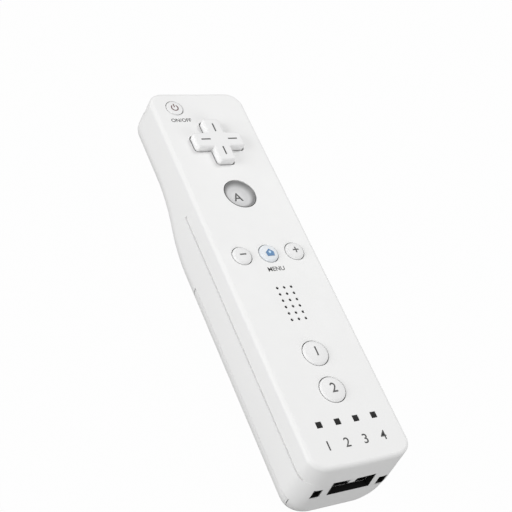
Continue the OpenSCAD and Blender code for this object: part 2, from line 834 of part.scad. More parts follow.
module right_cell() {
    color([0.2, 0.2, 0.22]) translate([cell_x, bay_y1 - plate_t - coil_len, cell_z])
        rotate([0, 0, 180]) cell();
}

module bridge_plate() {
    color("silver") block(-cell_x - 4, cell_x + 4, bay_y1 - plate_t, bay_y1, cell_z - 4, cell_z + 4);
}

module terminal_plates() {
    color("silver") for (s = [-1, 1])
        block(s * cell_x - 4.2, s * cell_x + 4.2, bay_y0, bay_y0 + plate_t, cell_z - 4, cell_z + 4);
}

module pairing_button() {
    color([0.8, 0.1, 0.1]) {
        rod_z(pair_r, pair_shelf - rib_t - 1.2, pair_shelf + eps, 0, pair_y);
        rod_z(pair_r + 0.7, pair_shelf, pair_shelf + 1, 0, pair_y);
    }
}

module pairing_switch() {
    color([0.15, 0.15, 0.16])
        block(-2.5, 2.5, pair_y - 2.5, pair_y + 2.5, pair_shelf + 1 + pair_travel + 0.1, board_low);
}

// Board and electronics

module main_board() {
    color([0.1, 0.35, 0.2]) difference() {
        block(-board_x, board_x, housing_y1 + 0.2, camera_y1 + 1.2, board_low, board_top);
        for (s = screw_spots) rod_z(head_pillar_r + 0.4, board_low - 1, board_top + 1, s[0], s[1]);
    }
}

module processor() {
    color([0.1, 0.1, 0.1])
        block(radio_x1 + 1, can_x0 - 2, motor_y0 + 1, motor_y0 + 11, board_low - 1.2, board_low);
}

module radio_module() {
    color([0.6, 0.6, 0.62])
        block(radio_x0, radio_x1, motor_y0 + 6, motor_y0 + 18, board_low - 1.8, board_low);
}

module motion_sensor() {
    color([0.1, 0.1, 0.1])
        block(can_x0, can_x0 + 5, motor_y0 + 12, motor_y0 + 17, board_low - 1.2, board_low);
}

module crystal_can() {
    color("silver") block(can_x0, can_x0 + 3.5, motor_y0 + 1, motor_y0 + 9, board_low - 2.4, board_low);
}

module lamp_windows() {
    side = lamp_side - 0.1;
    color([0.05, 0.05, 0.05]) for (i = [0:3])
        translate([(i - 1.5) * lamp_pitch, lamp_y, face_in + wall / 2 - 0.2])
            cube([side, side, wall + 0.4], center = true);
}

module player_lamps() {
    color([0.9, 0.9, 0.85]) for (i = [0:3])
        block((i - 1.5) * lamp_pitch - 0.8, (i - 1.5) * lamp_pitch + 0.8, lamp_y - 0.8, lamp_y + 0.8,
              board_top, board_top + 1.2);
}

speaker_r = 8.4;
magnet_h = 2;

module speaker_frame() {
    color([0.3, 0.3, 0.32]) translate([0, grille_y, board_top + magnet_h]) difference() {
        cylinder(r = speaker_r, h = face_in - board_top - magnet_h);
        translate([0, 0, 0.8]) cylinder(r = speaker_r - 0.9, h = face_in);
    }
}

module speaker_magnet() {
    color("silver") rod_z(5, board_top, board_top + magnet_h, 0, grille_y);
}

module speaker_cone() {
    rise = 1.8;
    color([0.12, 0.12, 0.12]) translate([0, grille_y, board_top + magnet_h + 0.8]) difference() {
        cylinder(r1 = 3, r2 = speaker_r - 0.9, h = rise);
        translate([0, 0, 0.4]) cylinder(r1 = 2.6, r2 = speaker_r - 1.2, h = rise);
    }
}

module socket_housing() {
    w = socket_w + 2 * housing_wall;
    color([0.06, 0.06, 0.06]) {
        difference() {
            block(-w / 2, w / 2, housing_y0, housing_y1, shelf_top, socket_top + housing_wall);
            block(-socket_w / 2, socket_w / 2, housing_y0 - 1, housing_y1 - housing_wall,
                  socket_low, socket_top);
        }
        block(-1.1, 1.1, housing_y0, housing_y0 + mouth_len / 2, socket_top - 1.1, socket_top + eps);
    }
}

module socket_contacts() {
    pitch = (socket_w - 3) / strip_count;
    color("gold") for (i = [0:strip_count - 1])
        translate([(i - (strip_count - 1) / 2) * pitch - 0.5, housing_y0 + 2, socket_low])
            cube([1, mouth_len - 2, 0.3]);
}

module rumble_motor() {
    color("silver") {
        rod_y(motor_r, motor_y0, motor_y1, 0, motor_z);
        rod_y(shaft_r, motor_y1 - eps, weight_y1 + 0.4, 0, motor_z);
    }
}

module rumble_weight() {
    color([0.4, 0.4, 0.4]) difference() {
        union() {
            intersection() {
                rod_y(weight_r, weight_y0, weight_y1, 0, motor_z);
                block(-weight_r, weight_r, motor_y1, weight_y1 + 1, motor_z - weight_r, motor_z);
            }
            rod_y(shaft_r + 0.9, weight_y0, weight_y1, 0, motor_z);
        }
        rod_y(shaft_r + shaft_gap, motor_y1, weight_y1 + 1, 0, motor_z);
    }
}

module rumble_clip() {
    color([0.85, 0.85, 0.85]) difference() {
        block(-motor_r - motor_clip_t, motor_r + motor_clip_t, bay_far, motor_y0 + motor_len / 2,
              motor_z - motor_r - motor_clip_t, motor_z);
        rod_y(motor_r, motor_y0, motor_y1, 0, motor_z);
    }
}

// Pointer window and camera in the far end

module pointer_window() {
    color([0.05, 0.04, 0.06]) {
        window_block(-0.05, far_y - wall, far_y - 0.05);
        window_block(0.7, far_y - wall - 0.8, far_y - wall);
    }
}

module pointer_camera() {
    color([0.12, 0.12, 0.13]) block(-4.2, 4.2, camera_y1 - 5.5, camera_y1, head_z + wall + 0.8, board_low);
}

module camera_lens() {
    color([0.05, 0.05, 0.08])
        rod_y(2.3, camera_y1, camera_y1 + 1.4, 0, (head_z + wall + board_low) / 2 + lens_lift);
}

module case_screws() {
    color("silver") for (s = screw_spots) difference() {
        union() {
            rod_z(screw_r, s[2] - eps, s[2] + screw_len, s[0], s[1]);
            rod_z(screw_head_r, s[2] - screw_head_h, s[2], s[0], s[1]);
        }
        for (a = [0:120:240])
            translate([s[0], s[1], s[2] - screw_head_h - 1]) rotate([0, 0, a])
                translate([0, -0.25, 0]) cube([1.4, 0.5, 1.8]);
    }
}

front_shell();
rear_shell();
battery_cover();
power_button();
direction_pad();
pad_ball();
pad_post();
main_button();
minus_button();
house_button();
plus_button();
one_button();
two_button();
rear_trigger();
trigger_pin();
trigger_spring();
trigger_switch();
pairing_button();
pairing_switch();
pointer_window();
pointer_camera();
camera_lens();
main_board();
processor();
radio_module();
motion_sensor();
crystal_can();
lamp_windows();
player_lamps();
speaker_frame();
speaker_magnet();
speaker_cone();
socket_housing();
socket_contacts();
rumble_motor();
rumble_weight();
rumble_clip();
left_cell();
right_cell();
left_coil();
right_coil();
bridge_plate();
terminal_plates();
case_screws();
power_dome();
pad_domes();
main_dome();
minus_dome();
house_dome();
plus_dome();
one_dome();
two_dome();
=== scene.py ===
import math
import bmesh
import bpy
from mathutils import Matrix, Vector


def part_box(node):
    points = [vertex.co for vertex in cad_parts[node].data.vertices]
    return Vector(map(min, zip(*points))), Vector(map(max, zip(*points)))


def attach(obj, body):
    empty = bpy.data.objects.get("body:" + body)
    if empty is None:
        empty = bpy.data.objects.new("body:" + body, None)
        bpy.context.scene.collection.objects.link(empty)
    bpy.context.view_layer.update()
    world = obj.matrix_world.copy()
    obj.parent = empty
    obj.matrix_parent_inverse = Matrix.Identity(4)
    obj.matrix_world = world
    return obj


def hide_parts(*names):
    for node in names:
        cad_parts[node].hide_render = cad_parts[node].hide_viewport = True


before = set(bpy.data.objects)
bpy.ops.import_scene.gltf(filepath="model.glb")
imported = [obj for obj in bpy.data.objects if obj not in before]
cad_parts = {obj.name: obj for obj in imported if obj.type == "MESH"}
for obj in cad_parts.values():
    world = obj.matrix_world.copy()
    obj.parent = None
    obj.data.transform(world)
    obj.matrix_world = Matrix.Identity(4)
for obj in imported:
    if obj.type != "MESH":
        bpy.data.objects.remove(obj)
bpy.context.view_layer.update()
mm = 0.001  # pieces are drawn in millimetres and brought to metres at the end
slack = 0.01  # how near a point lies to the place that it is picked by
fineSlack = 0.002  # the same, for edges level with the face
spare = 1  # how far a cutter reaches past what it cuts
alongX = (0, math.pi / 2, 0)  # lays a rod across the wand
facingY = (math.pi / 2, 0, 0)  # stands a sheet up to face along the wand
softAngle = 32  # edges flatter than this are shaded smooth


def boxMm(node):
    low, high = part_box(node)
    return [value / mm for value in low], [value / mm for value in high]


def centreMm(node):
    low, high = boxMm(node)
    return (low[0] + high[0]) / 2, (low[1] + high[1]) / 2


faceLow, faceHigh = boxMm("front_shell")
halfWide = faceHigh[0]
farY = faceHigh[1]
nearY = -farY
faceZ = faceHigh[2]
seamZ = faceLow[2]


# Small helpers

def deselect():
    if bpy.context.mode != "OBJECT":
        bpy.ops.object.mode_set(mode="OBJECT")
    bpy.ops.object.select_all(action="DESELECT")


def activate(piece):
    deselect()
    piece.select_set(True)
    bpy.context.view_layer.objects.active = piece


def edit(piece, kind="FACE"):
    activate(piece)
    bpy.ops.object.mode_set(mode="EDIT")
    bpy.ops.mesh.select_mode(type=kind)


def pick(piece, kind, test):
    bpy.ops.mesh.select_mode(type=kind)
    bpy.ops.mesh.select_all(action="DESELECT")
    grid = bmesh.from_edit_mesh(piece.data)
    grid.normal_update()
    items = {"VERT": grid.verts, "EDGE": grid.edges, "FACE": grid.faces}[kind]
    for item in items:
        if test(item):
            item.select_set(True)
    bmesh.update_edit_mesh(piece.data)


def settle():  # keeps a piece's place, turn and scale in its mesh
    bpy.ops.object.transform_apply(location=True, rotation=True, scale=True)


def everything():
    bpy.ops.mesh.select_all(action="SELECT")


def everyFace():
    bpy.ops.mesh.select_mode(type="FACE")
    everything()


def bevel(offset, steps, kind="EDGES", clamp=False):
    bpy.ops.mesh.bevel(offset=offset, segments=steps, affect=kind, clamp_overlap=clamp)


def shift(piece, axis, move):  # moves every point along one axis
    grid = bmesh.from_edit_mesh(piece.data)
    for vert in grid.verts:
        vert.co[axis] += move(vert.co)
    bmesh.update_edit_mesh(piece.data)


def middle(edge):
    return (edge.verts[0].co + edge.verts[1].co) / 2


def steep(face):
    return abs(face.normal.z) < 0.1


def level(face):
    return face.normal.z > 0.9


def push(x=0, y=0, z=0):
    bpy.ops.mesh.extrude_region_move(TRANSFORM_OT_translate={"value": (x, y, z)})


def outward():
    everything()
    bpy.ops.mesh.remove_doubles(threshold=0.0005)
    bpy.ops.mesh.normals_make_consistent(inside=False)


def thicken(x=0, y=0, z=0):  # pulls flat faces out into a closed block
    everyFace()
    push(x, y, z)
    outward()


def named(name):
    piece = bpy.context.object
    piece.name = name
    return piece


def sheet(name, wide, high, place, turn=(0, 0, 0)):
    deselect()
    bpy.ops.mesh.primitive_plane_add(size=1, location=place, rotation=turn)
    piece = named(name)
    piece.scale = (wide, high, 1)
    settle()
    return piece


def bar(name, low, high):
    deselect()
    bpy.ops.mesh.primitive_cube_add(size=1, location=[(a + b) / 2 for a, b in zip(low, high)])
    piece = named(name)
    piece.scale = [b - a for a, b in zip(low, high)]
    settle()
    return piece


def rod(name, radius, place, length, turn=(0, 0, 0), sides=48):
    deselect()
    bpy.ops.mesh.primitive_cylinder_add(vertices=sides, radius=radius, depth=length,
                                        location=place, rotation=turn)
    piece = named(name)
    settle()
    return piece


def joined(pieces):
    activate(pieces[0])
    for piece in pieces[1:]:
        piece.select_set(True)
    bpy.ops.object.join()
    return pieces[0]


def modify(piece, kind, **settings):
    activate(piece)
    bpy.ops.object.modifier_add(type=kind)
    modifier = piece.modifiers[-1]
    for key, value in settings.items():
        setattr(modifier, key, value)
    bpy.ops.object.modifier_apply(modifier=modifier.name)


def cut(piece, cutter, operation="DIFFERENCE"):
    modify(piece, "BOOLEAN", operation=operation, object=cutter, solver="EXACT")
    bpy.data.objects.remove(cutter, do_unlink=True)


def chain(name, points):  # a line of points in the XZ plane, drawn by extruding one point
    piece = sheet(name, 1, 1, (0, 0, 0))
    edit(piece, "VERT")
    everything()
    bpy.ops.mesh.merge(type="CENTER")
    bpy.ops.transform.translate(value=(points[0][0], 0, points[0][1]))
    for here, there in zip(points, points[1:]):
        push(x=there[0] - here[0], z=there[1] - here[1])
    return piece


def lathe(name, place, profile, steps=64):
    piece = chain(name, profile)
    everything()
    bpy.ops.mesh.spin(steps=steps, angle=2 * math.pi, center=(0, 0, 0), axis=(0, 0, 1))
    outward()
    bpy.ops.transform.translate(value=place)
    return piece


def arc(centreX, centreZ, radius, start, end, count):
    turns = [math.radians(start + (end - start) * i / count) for i in range(count + 1)]
    return [(centreX + radius * math.cos(a), centreZ + radius * math.sin(a)) for a in turns]


def smooth(piece, angle):
    activate(piece)
    bpy.ops.object.shade_smooth_by_angle(angle=math.radians(angle), keep_sharp_edges=True)
    modify(piece, "WEIGHTED_NORMAL", mode="FACE_AREA", weight=50, keep_sharp=True)


def finishPiece(piece, body, finish, nodes=(), angle=softAngle):
    activate(piece)
    piece.scale = (mm, mm, mm)
    settle()
    smooth(piece, angle)
    piece.data.materials.clear()
    piece.data.materials.append(finishes[finish])
    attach(piece, body)
    if nodes:
        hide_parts(*nodes)
    return piece


# Finishes

class Wire:  # one socket of a node tree, with arithmetic
    def __init__(self, tree, socket=None):
        self.tree = tree
        self.socket = socket

    def add(self, kind, settings, sockets, output=0):
        node = self.tree.nodes.new(kind)
        for key, value in settings.items():
            setattr(node, key, value)
        for key, value in sockets.items():
            if isinstance(value, Wire):
                self.tree.links.new(value.socket, node.inputs[key])
            else:
                node.inputs[key].default_value = value
        return Wire(self.tree, node.outputs[output])

    def maths(self, operation, first, second):
        return self.add("ShaderNodeMath", {"operation": operation}, {0: first, 1: second})

    def __add__(self, other):
        return self.maths("ADD", self, other)

    __radd__ = __add__

    def __sub__(self, other):
        return self.maths("SUBTRACT", self, other)

    def __rsub__(self, other):
        return self.maths("SUBTRACT", other, self)

    def __mul__(self, other):
        return self.maths("MULTIPLY", self, other)

    __rmul__ = __mul__

    def above(self, limit):
        return self.maths("GREATER_THAN", self, limit)

    def noise(self, scale, detail=3.0):
        return self.add("ShaderNodeTexNoise", {}, {"Vector": self, "Scale": scale, "Detail": detail}, "Fac")

    def blend(self, low, high):  # two colours, by this value
        return self.add("ShaderNodeMix", {"data_type": "RGBA"}, {"Factor": self, 6: low, 7: high}, 2)

    def bump(self, strength, distance):
        return self.add("ShaderNodeBump", {}, {"Height": self, "Strength": strength, "Distance": distance})


def newFinish(name, constants, paint):
    material = bpy.data.materials.new(name)
    material.use_nodes = True
    tree = material.node_tree
    shader = tree.nodes["Principled BSDF"]
    for key, value in constants.items():
        shader.inputs[key].default_value = value
    place = Wire(tree).add("ShaderNodeTexCoord", {}, {}, "Object")
    for key, wire in paint(place).items():
        tree.links.new(wire.socket, shader.inputs[key])
    return material


def tone(*parts):  # one grey, or red, green and blue
    return (*(parts * 3)[:3], 1.0)


bumpDepth = 0.00002  # metres
moulding = {"drift": 45.0, "pores": 2600.0, "capPores": 3400.0}
brushLines = {"across": 700.0, "along": 40.0}
paintedDishShade = {"start": 0.0036, "end": 0.0053, "wall": 0.2}  # painted shade on the bowl's steep wall: metres from the middle where it starts and ends, and its tone
softShine = {"Specular IOR Level": 0.3}
inkSkin = {"grain": 0.05, "cloud": 400.0}
boardLook = {"traces": 330.0, "traceWide": 0.07, "traceHigh": 0.00003, "drift": 120.0}
cellLook = {"band": 0.72, "plusEnd": 0.955, "minusEnd": 0.025, "scuff": 300.0}  # lengths are shares


def moulded(low, high, rough, grain=0.06, cloud=moulding["drift"], pores=moulding["pores"], constants=None):
    def paint(place):
        drift = place.noise(cloud)  # slow drift of the resin's tone
        skin = place.noise(pores, 2.0)  # fine texture of the mould
        smear = place.noise(cloud * 5, 4.0)  # faint handling marks
        return {
            "Base Color": drift.blend(low, high),
            "Roughness": rough + 0.14 * (smear - 0.5) + 0.05 * (skin - 0.5),
            "Normal": skin.bump(grain, bumpDepth),
        }
    return paint, constants or {}


def brushed(low, high, rough, stretchAxis):
    def paint(place):
        scale = [brushLines["across"]] * 3
        scale[stretchAxis] = brushLines["along"]
        lines = place.add("ShaderNodeMapping", {}, {"Vector": place, "Scale": scale}).noise(1.0, 4.0)
        return {
            "Base Color": lines.blend(low, high),
            "Roughness": rough + 0.2 * (lines - 0.5),
            "Normal": lines.bump(0.08, bumpDepth),
        }
    return paint, {"Metallic": 1.0}


def boardPaint(place):
    copper = place.add("ShaderNodeTexVoronoi", {"feature": "DISTANCE_TO_EDGE"},
                       {"Vector": place, "Scale": boardLook["traces"]})
    trace = copper.above(boardLook["traceWide"])
    drift = place.noise(boardLook["drift"])
    return {
        "Base Color": trace.blend(tone(0.05, 0.26, 0.11), tone(0.02, 0.15, 0.06)),
        "Roughness": 0.38 + 0.16 * (drift - 0.5),
        "Normal": trace.bump(0.1, boardLook["traceHigh"]),
    }


def cellPaint(node, plus):  # a dark sleeve, a copper band at the plus end and bare metal ends
    low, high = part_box(node)

    def paint(place):
        along = place.add("ShaderNodeSeparateXYZ", {}, {"Vector": place}, "Y")
        part = (along - low[1]) * (1 / (high[1] - low[1]))
        part = part if plus > 0 else 1 - part
        scuff = place.noise(cellLook["scuff"], 4.0)
        band = part.above(cellLook["band"])
        bare = part.above(cellLook["plusEnd"]) + (1 - part.above(cellLook["minusEnd"]))
        sleeve = band.blend(tone(0.02, 0.021, 0.024), tone(0.5, 0.22, 0.08))
        return {
            "Base Color": bare.blend(sleeve, tone(0.62)),
            "Metallic": band * 0.7 + bare * 0.3,
            "Roughness": 0.3 + 0.16 * (scuff - 0.5),
            "Normal": scuff.bump(0.03, bumpDepth),
        }
    return paint, {}


def dishWithPaintedShade(place):  # a grey bowl whose steep wall is painted darker than its floor, as painted shade for the shade and shadow inside the dish
    low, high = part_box("main_button")
    centre = (low + high) / 2
    flat = place.add("ShaderNodeMapping", {},
                     {"Vector": place, "Location": (-centre.x, -centre.y, 0), "Scale": (1, 1, 0)})
    reach = place.add("ShaderNodeVectorMath", {"operation": "LENGTH"}, {0: flat}, "Value")
    # painted shade: a dark ring on the bowl's wall, set by distance from the middle
    wall = place.add("ShaderNodeMapRange", {"interpolation_type": "SMOOTHSTEP"},
                     {"Value": reach, "From Min": paintedDishShade["start"], "From Max": paintedDishShade["end"]}, "Result")
    drift = place.noise(moulding["drift"])
    skin = place.noise(moulding["pores"], 2.0)
    floor = drift.blend(tone(0.69, 0.69, 0.695), tone(0.73, 0.73, 0.735))
    return {
        "Base Color": wall.blend(floor, tone(paintedDishShade["wall"])),
        "Roughness": 0.42 + 0.1 * (drift - 0.5),
        "Normal": skin.bump(0.03, bumpDepth),
    }


finishes = {}
finishRows = {
    "leftCell": cellPaint("left_cell", 1),
    "rightCell": cellPaint("right_cell", -1),
    "bodyWhite": moulded(tone(0.815, 0.815, 0.812), tone(0.845, 0.845, 0.842), 0.5, constants=softShine),
    "capWhite": moulded(tone(0.79), tone(0.82), 0.5, pores=moulding["capPores"], constants=softShine),
    # the main button's grey, with painted shade on the bowl's steep wall
    "dishGreyPaintedShade": (dishWithPaintedShade, {"Specular IOR Level": 0.35}),
    "houseWhite": moulded(tone(0.76, 0.79, 0.82), tone(0.79, 0.82, 0.85), 0.5, pores=moulding["capPores"],
                          constants=softShine),
    "pairRed": moulded(tone(0.5, 0.03, 0.03), tone(0.6, 0.05, 0.04), 0.4),
    "blackPlastic": moulded(tone(0.006), tone(0.012), 0.5, grain=0.1, constants={"Specular IOR Level": 0.15}),
    "windowDark": moulded(tone(0.006, 0.004, 0.007), tone(0.012, 0.008, 0.012), 0.1, grain=0.01,
                          constants={"Coat Weight": 0.6, "Coat Roughness": 0.04}),
    "lampDark": moulded(tone(0.006), tone(0.012), 0.4, grain=0.02, constants={"Specular IOR Level": 0.1}),
    "lensGlass": moulded(tone(0.015, 0.015, 0.03), tone(0.03, 0.025, 0.05), 0.06, grain=0.01),
    "greyPlastic": moulded(tone(0.42), tone(0.5), 0.45, grain=0.1),
    "chipBlack": moulded(tone(0.02), tone(0.035), 0.55, grain=0.2, pores=5200.0),
    "rubberGrey": moulded(tone(0.2, 0.205, 0.21), tone(0.26, 0.265, 0.27), 0.72, grain=0.2),
    "lampClear": moulded(tone(0.75, 0.76, 0.68), tone(0.82, 0.82, 0.74), 0.18, grain=0.02),
    "steel": brushed(tone(0.55, 0.55, 0.56), tone(0.7), 0.3, 0),
    "brass": brushed(tone(0.6, 0.44, 0.16), tone(0.75, 0.58, 0.26), 0.26, 1),
    "weightIron": brushed(tone(0.3), tone(0.42), 0.44, 1),
    "boardGreen": (boardPaint, {}),
    "inkGrey": moulded(tone(0.03), tone(0.05), 0.5, **inkSkin),
    "inkBlue": moulded(tone(0.015, 0.13, 0.32), tone(0.03, 0.17, 0.38), 0.45, **inkSkin),
    "inkSky": moulded(tone(0.35, 0.62, 0.85), tone(0.42, 0.68, 0.88), 0.4, **inkSkin),
    "inkRed": moulded(tone(0.09, 0.03, 0.03), tone(0.13, 0.04, 0.038), 0.5, **inkSkin),
}
for finishName, (finishPaint, finishConstants) in finishRows.items():
    finishes[finishName] = newFinish(finishName, finishConstants, finishPaint)
print("finishes ready:", len(finishes))


# Shells

pinLow, pinHigh = boxMm("trigger_pin")
pivotY = (pinLow[1] + pinHigh[1]) / 2
pivotZ = (pinLow[2] + pinHigh[2]) / 2
bodyForm = {
    "wall": 2.0, "faceRound": 1.5, "farCorner": 5.6, "nearCorner": 6.6, "bow": 200.0,
    "backRound": 10.0, "headZ": pivotZ - 4.4, "shoulderY": farY - 58.8, "shoulderRun": 36.0,
    "farUnder": 3.0, "nearUnder": 5.4, "holeRim": 0.12, "holeSpare": 2.0, "holeDown": 0.5,
    "grooveHigh": 1.0, "grooveDeep": 0.6, "grooveNear": nearY + 3.8, "grooveFar": farY - 47.3,
    "lean": 0.14, "leanLow": 14.5, "skinSpare": 0.5, "bossRadius": 2.7, "bossLift": 0.1,
    "cornerSteps": 12, "faceSteps": 10, "bowCuts": 11, "backSteps": 14, "shoulderSteps": 16,
}
faceIn = faceZ - bodyForm["wall"]


def bowed(x):
    reach = min(abs(x), halfWide - bodyForm["nearCorner"])
    return bodyForm["bow"] - math.sqrt(bodyForm["bow"] ** 2 - reach ** 2)


def bowNearEnd(piece):  # the socket end bows outwards across its width
    start = nearY + bodyForm["nearCorner"] + slack
    shift(piece, 1, lambda spot: bowed(spot.x) if spot.y < start else 0)


def leanBack(z):
    return bodyForm["lean"] * max(z - bodyForm["leanLow"], 0)


def leanNearEnd(piece):  # from leanLow upwards the socket end leans back
    edit(piece)
    everything()
    bpy.ops.mesh.bisect(plane_co=(0, 0, bodyForm["leanLow"]), plane_no=(0, 0, 1))
    corner = bodyForm["nearCorner"]
    shift(piece, 1, lambda spot: leanBack(spot.z) * min(max((nearY + corner - spot.y) / corner, 0), 1))


def planBlock(name, inset, low, high):
    form = bodyForm
    piece = sheet(name, 2 * (halfWide - inset), farY - nearY - 2 * inset, (0, 0, low))
    edit(piece, "VERT")
    pick(piece, "VERT", lambda v: v.co.y > 0)
    bevel(form["farCorner"] - inset, form["cornerSteps"], "VERTICES")
    pick(piece, "VERT", lambda v: v.co.y < nearY + inset + slack)
    bevel(form["nearCorner"] - inset, form["cornerSteps"], "VERTICES")
    pick(piece, "EDGE", lambda e: middle(e).y < nearY + inset + slack
         and e.calc_length() > form["nearCorner"])
    bpy.ops.mesh.subdivide(number_cuts=form["bowCuts"])
    bowNearEnd(piece)
    thicken(z=high - low)
    return piece


def crossSheet(name, place, length, arm, corner):
    piece = sheet(name, arm, arm, (0, 0, 0))
    edit(piece, "EDGE")
    reach = (length - arm) / 2
    for x, y in ((1, 0), (-1, 0), (0, 1), (0, -1)):
        pick(piece, "EDGE", lambda e: abs(middle(e).x * x + middle(e).y * y - arm / 2) < slack
             and abs(middle(e).x * y + middle(e).y * x) < slack)
        push(x=x * reach, y=y * reach)
    everyFace()
    bpy.ops.mesh.dissolve_faces()
    pick(piece, "VERT", lambda v: max(abs(v.co.x), abs(v.co.y)) > length / 2 - slack)
    bevel(corner, 6, "VERTICES")
    pick(piece, "VERT", lambda v: max(abs(v.co.x), abs(v.co.y)) < arm / 2 + slack)
    bevel(padForm["innerCorner"], 3, "VERTICES")
    everything()
    bpy.ops.transform.translate(value=place)
    return piece


def windowBlock(name, extra, y0, y1):  # a rounded block, wider than the window by extra
    form = windowForm
    piece = sheet(name, form["wide"] + extra, form["high"] + extra, (0, y0, form["z"]), facingY)
    edit(piece, "VERT")
    everything()
    bevel(form["corner"], 6, "VERTICES")
    thicken(y=y1 - y0)
    return piece


smallCap = {"radius": 3.25, "rise": 1.0, "edge": 0.95, "crown": 0.27, "finish": "capWhite"}
numberCap = {"radius": 4.25, "rise": 1.0, "edge": 0.95, "crown": 0.3, "finish": "capWhite"}
buttonForm = {
    "power": {"node": "power_button", "radius": 2.95, "rise": 0.25, "edge": 0.3, "crown": 0.08,
              "finish": "capWhite"},
    "minus": {**smallCap, "node": "minus_button"},
    "house": {**smallCap, "node": "house_button", "finish": "houseWhite"},
    "plus": {**smallCap, "node": "plus_button"},
    "one": {**numberCap, "node": "one_button"},
    "two": {**numberCap, "node": "two_button"},
}
capFit = {"gap": 0.25, "flangeWide": 0.8, "flangeThick": 0.9, "stem": 1.4, "stemLow": 22.8, "play": 0.02,
          "edgeTurn": 84, "steps": 6}
mainForm = {"radius": 5.55, "top": faceZ - 0.2, "rim": 0.3, "dish": 2.0, "bowl": 4.0, "lip": 0.12,
            "rings": 24, "sides": 80, "softAngle": 50}
padForm = {"length": 18.2, "arm": 6.2, "corner": 1.0, "innerCorner": 0.3, "gap": 0.5, "edge": 0.7,
           "flange": 10.4, "flangeThick": 0.9, "ballHole": 1.55, "ballUp": 0.2, "ballDeep": 3.0}
# the last three numbers place black discs of painted shade inside the speaker holes
grilleForm = {"columns": 3, "rows": 6, "stepX": 2.58, "stepY": 2.38, "radius": 0.5, "sides": 20,
              "y": centreMm("speaker_frame")[1], "shadeDiscGap": 0.01, "shadeDiscDown": 0.55, "shadeDiscThick": 0.4}
lampForm = {"count": 4, "step": 6.56, "side": 2.0, "y": centreMm("lamp_windows")[1], "gap": 0.05,
            "under": 0.4, "sunk": 0.02, "edge": 0.12}
windowForm = {"wide": 23.6, "high": 11.0, "corner": 2.0, "z": faceZ - 10.4, "play": 0.1, "sunk": 0.05,
              "edge": 0.3, "rim": 1.4, "rimThick": 0.8}
screwForm = {  # x, y, seat, foot and outer radius of each pair of pillars
    "places": [(13.0, farY - 14, 13.8, 11.2, 2.8), (13.2, nearY + 8.4, 12.0, 12.0, 2.7)],
    "shank": 1.1, "bore": 2.3, "boreLong": 20.0, "topGap": 0.05, "seatUp": 0.02,
}


def grilleSpots():
    form = grilleForm
    return [((column - (form["columns"] - 1) / 2) * form["stepX"],
             form["y"] + (row - (form["rows"] - 1) / 2) * form["stepY"])
            for column in range(form["columns"]) for row in range(form["rows"])]


def lampSpots():
    form = lampForm
    return [((i - (form["count"] - 1) / 2) * form["step"], form["y"]) for i in range(form["count"])]


def windowHole():
    return windowBlock("windowHole", 0, farY - bodyForm["wall"] - spare, farY + spare)


def faceCutter():
    tools = []
    deep = bodyForm["wall"] + bodyForm["holeSpare"]
    holeZ = faceZ - bodyForm["holeDown"]
    for form in buttonForm.values():
        x, y = centreMm(form["node"])
        tools.append(rod("capHole", form["radius"] + capFit["gap"], (x, y, holeZ), deep, sides=64))
    x, y = centreMm("main_button")
    tools.append(rod("mainHole", mainForm["radius"] + capFit["gap"], (x, y, holeZ), deep, sides=72))
    x, y = centreMm("direction_pad")
    gap = padForm["gap"]
    cross = crossSheet("padHole", (x, y, faceIn - spare), padForm["length"] + 2 * gap,
                       padForm["arm"] + 2 * gap, padForm["corner"] + gap)
    thicken(z=deep)
    tools.append(cross)
    for x, y in grilleSpots():
        tools.append(rod("grilleHole", grilleForm["radius"], (x, y, holeZ), deep, sides=grilleForm["sides"]))
    half = lampForm["side"] / 2
    for x, y in lampSpots():
        tools.append(bar("lampHole", (x - half, y - half, faceIn - spare),
                         (x + half, y + half, faceZ + spare)))
    return joined(tools)


def seamGroove():  # a groove that follows the seam along both sides of the grip
    form = bodyForm
    low = seamZ - form["grooveHigh"] / 2
    high = seamZ + form["grooveHigh"] / 2
    ring = planBlock("seamGroove", -spare, low, high)
    cut(ring, planBlock("grooveInner", form["grooveDeep"], low - spare, high + spare))
    leanNearEnd(ring)
    ends = bar("grooveEnds", (-halfWide - 2 * spare, form["grooveNear"], low - spare),
               (halfWide + 2 * spare, form["grooveFar"], high + spare))
    cut(ring, ends, "INTERSECT")
    return ring


def makeFrontShell():
    form = bodyForm
    shell = planBlock("frontShell", 0, seamZ, faceZ)
    pick(shell, "EDGE", lambda e: all(v.co.z > faceZ - slack for v in e.verts))
    bevel(form["faceRound"], form["faceSteps"])
    cut(shell, planBlock("frontHollow", form["wall"], seamZ - spare, faceIn))
    leanNearEnd(shell)
    cut(shell, faceCutter())
    cut(shell, windowHole())
    edit(shell, "EDGE")
    pick(shell, "EDGE", lambda e: all(v.co.z > faceZ - fineSlack for v in e.verts)
         and any(steep(f) for f in e.link_faces) and any(level(f) for f in e.link_faces))
    bevel(form["holeRim"], 3, clamp=True)
    cut(shell, seamGroove())
    bossZ = (seamZ + faceIn) / 2 + form["bossLift"]
    bosses = [rod("boss", form["bossRadius"], (side * x, y, bossZ), faceIn - seamZ, sides=32)
              for x, y, seat, foot, outer in screwForm["places"] for side in (-1, 1)]
    joined([shell] + bosses)
    return finishPiece(shell, "body", "bodyWhite", ["front_shell"])


def gripSheet(name, inset, y, top):
    form = bodyForm
    high = top - inset
    piece = sheet(name, 2 * (halfWide - inset), high, (0, y, inset + high / 2), facingY)
    edit(piece, "VERT")
    pick(piece, "VERT", lambda v: v.co.z < inset + slack)
    bevel(form["backRound"] - inset, form["backSteps"], "VERTICES")
    everyFace()
    return piece


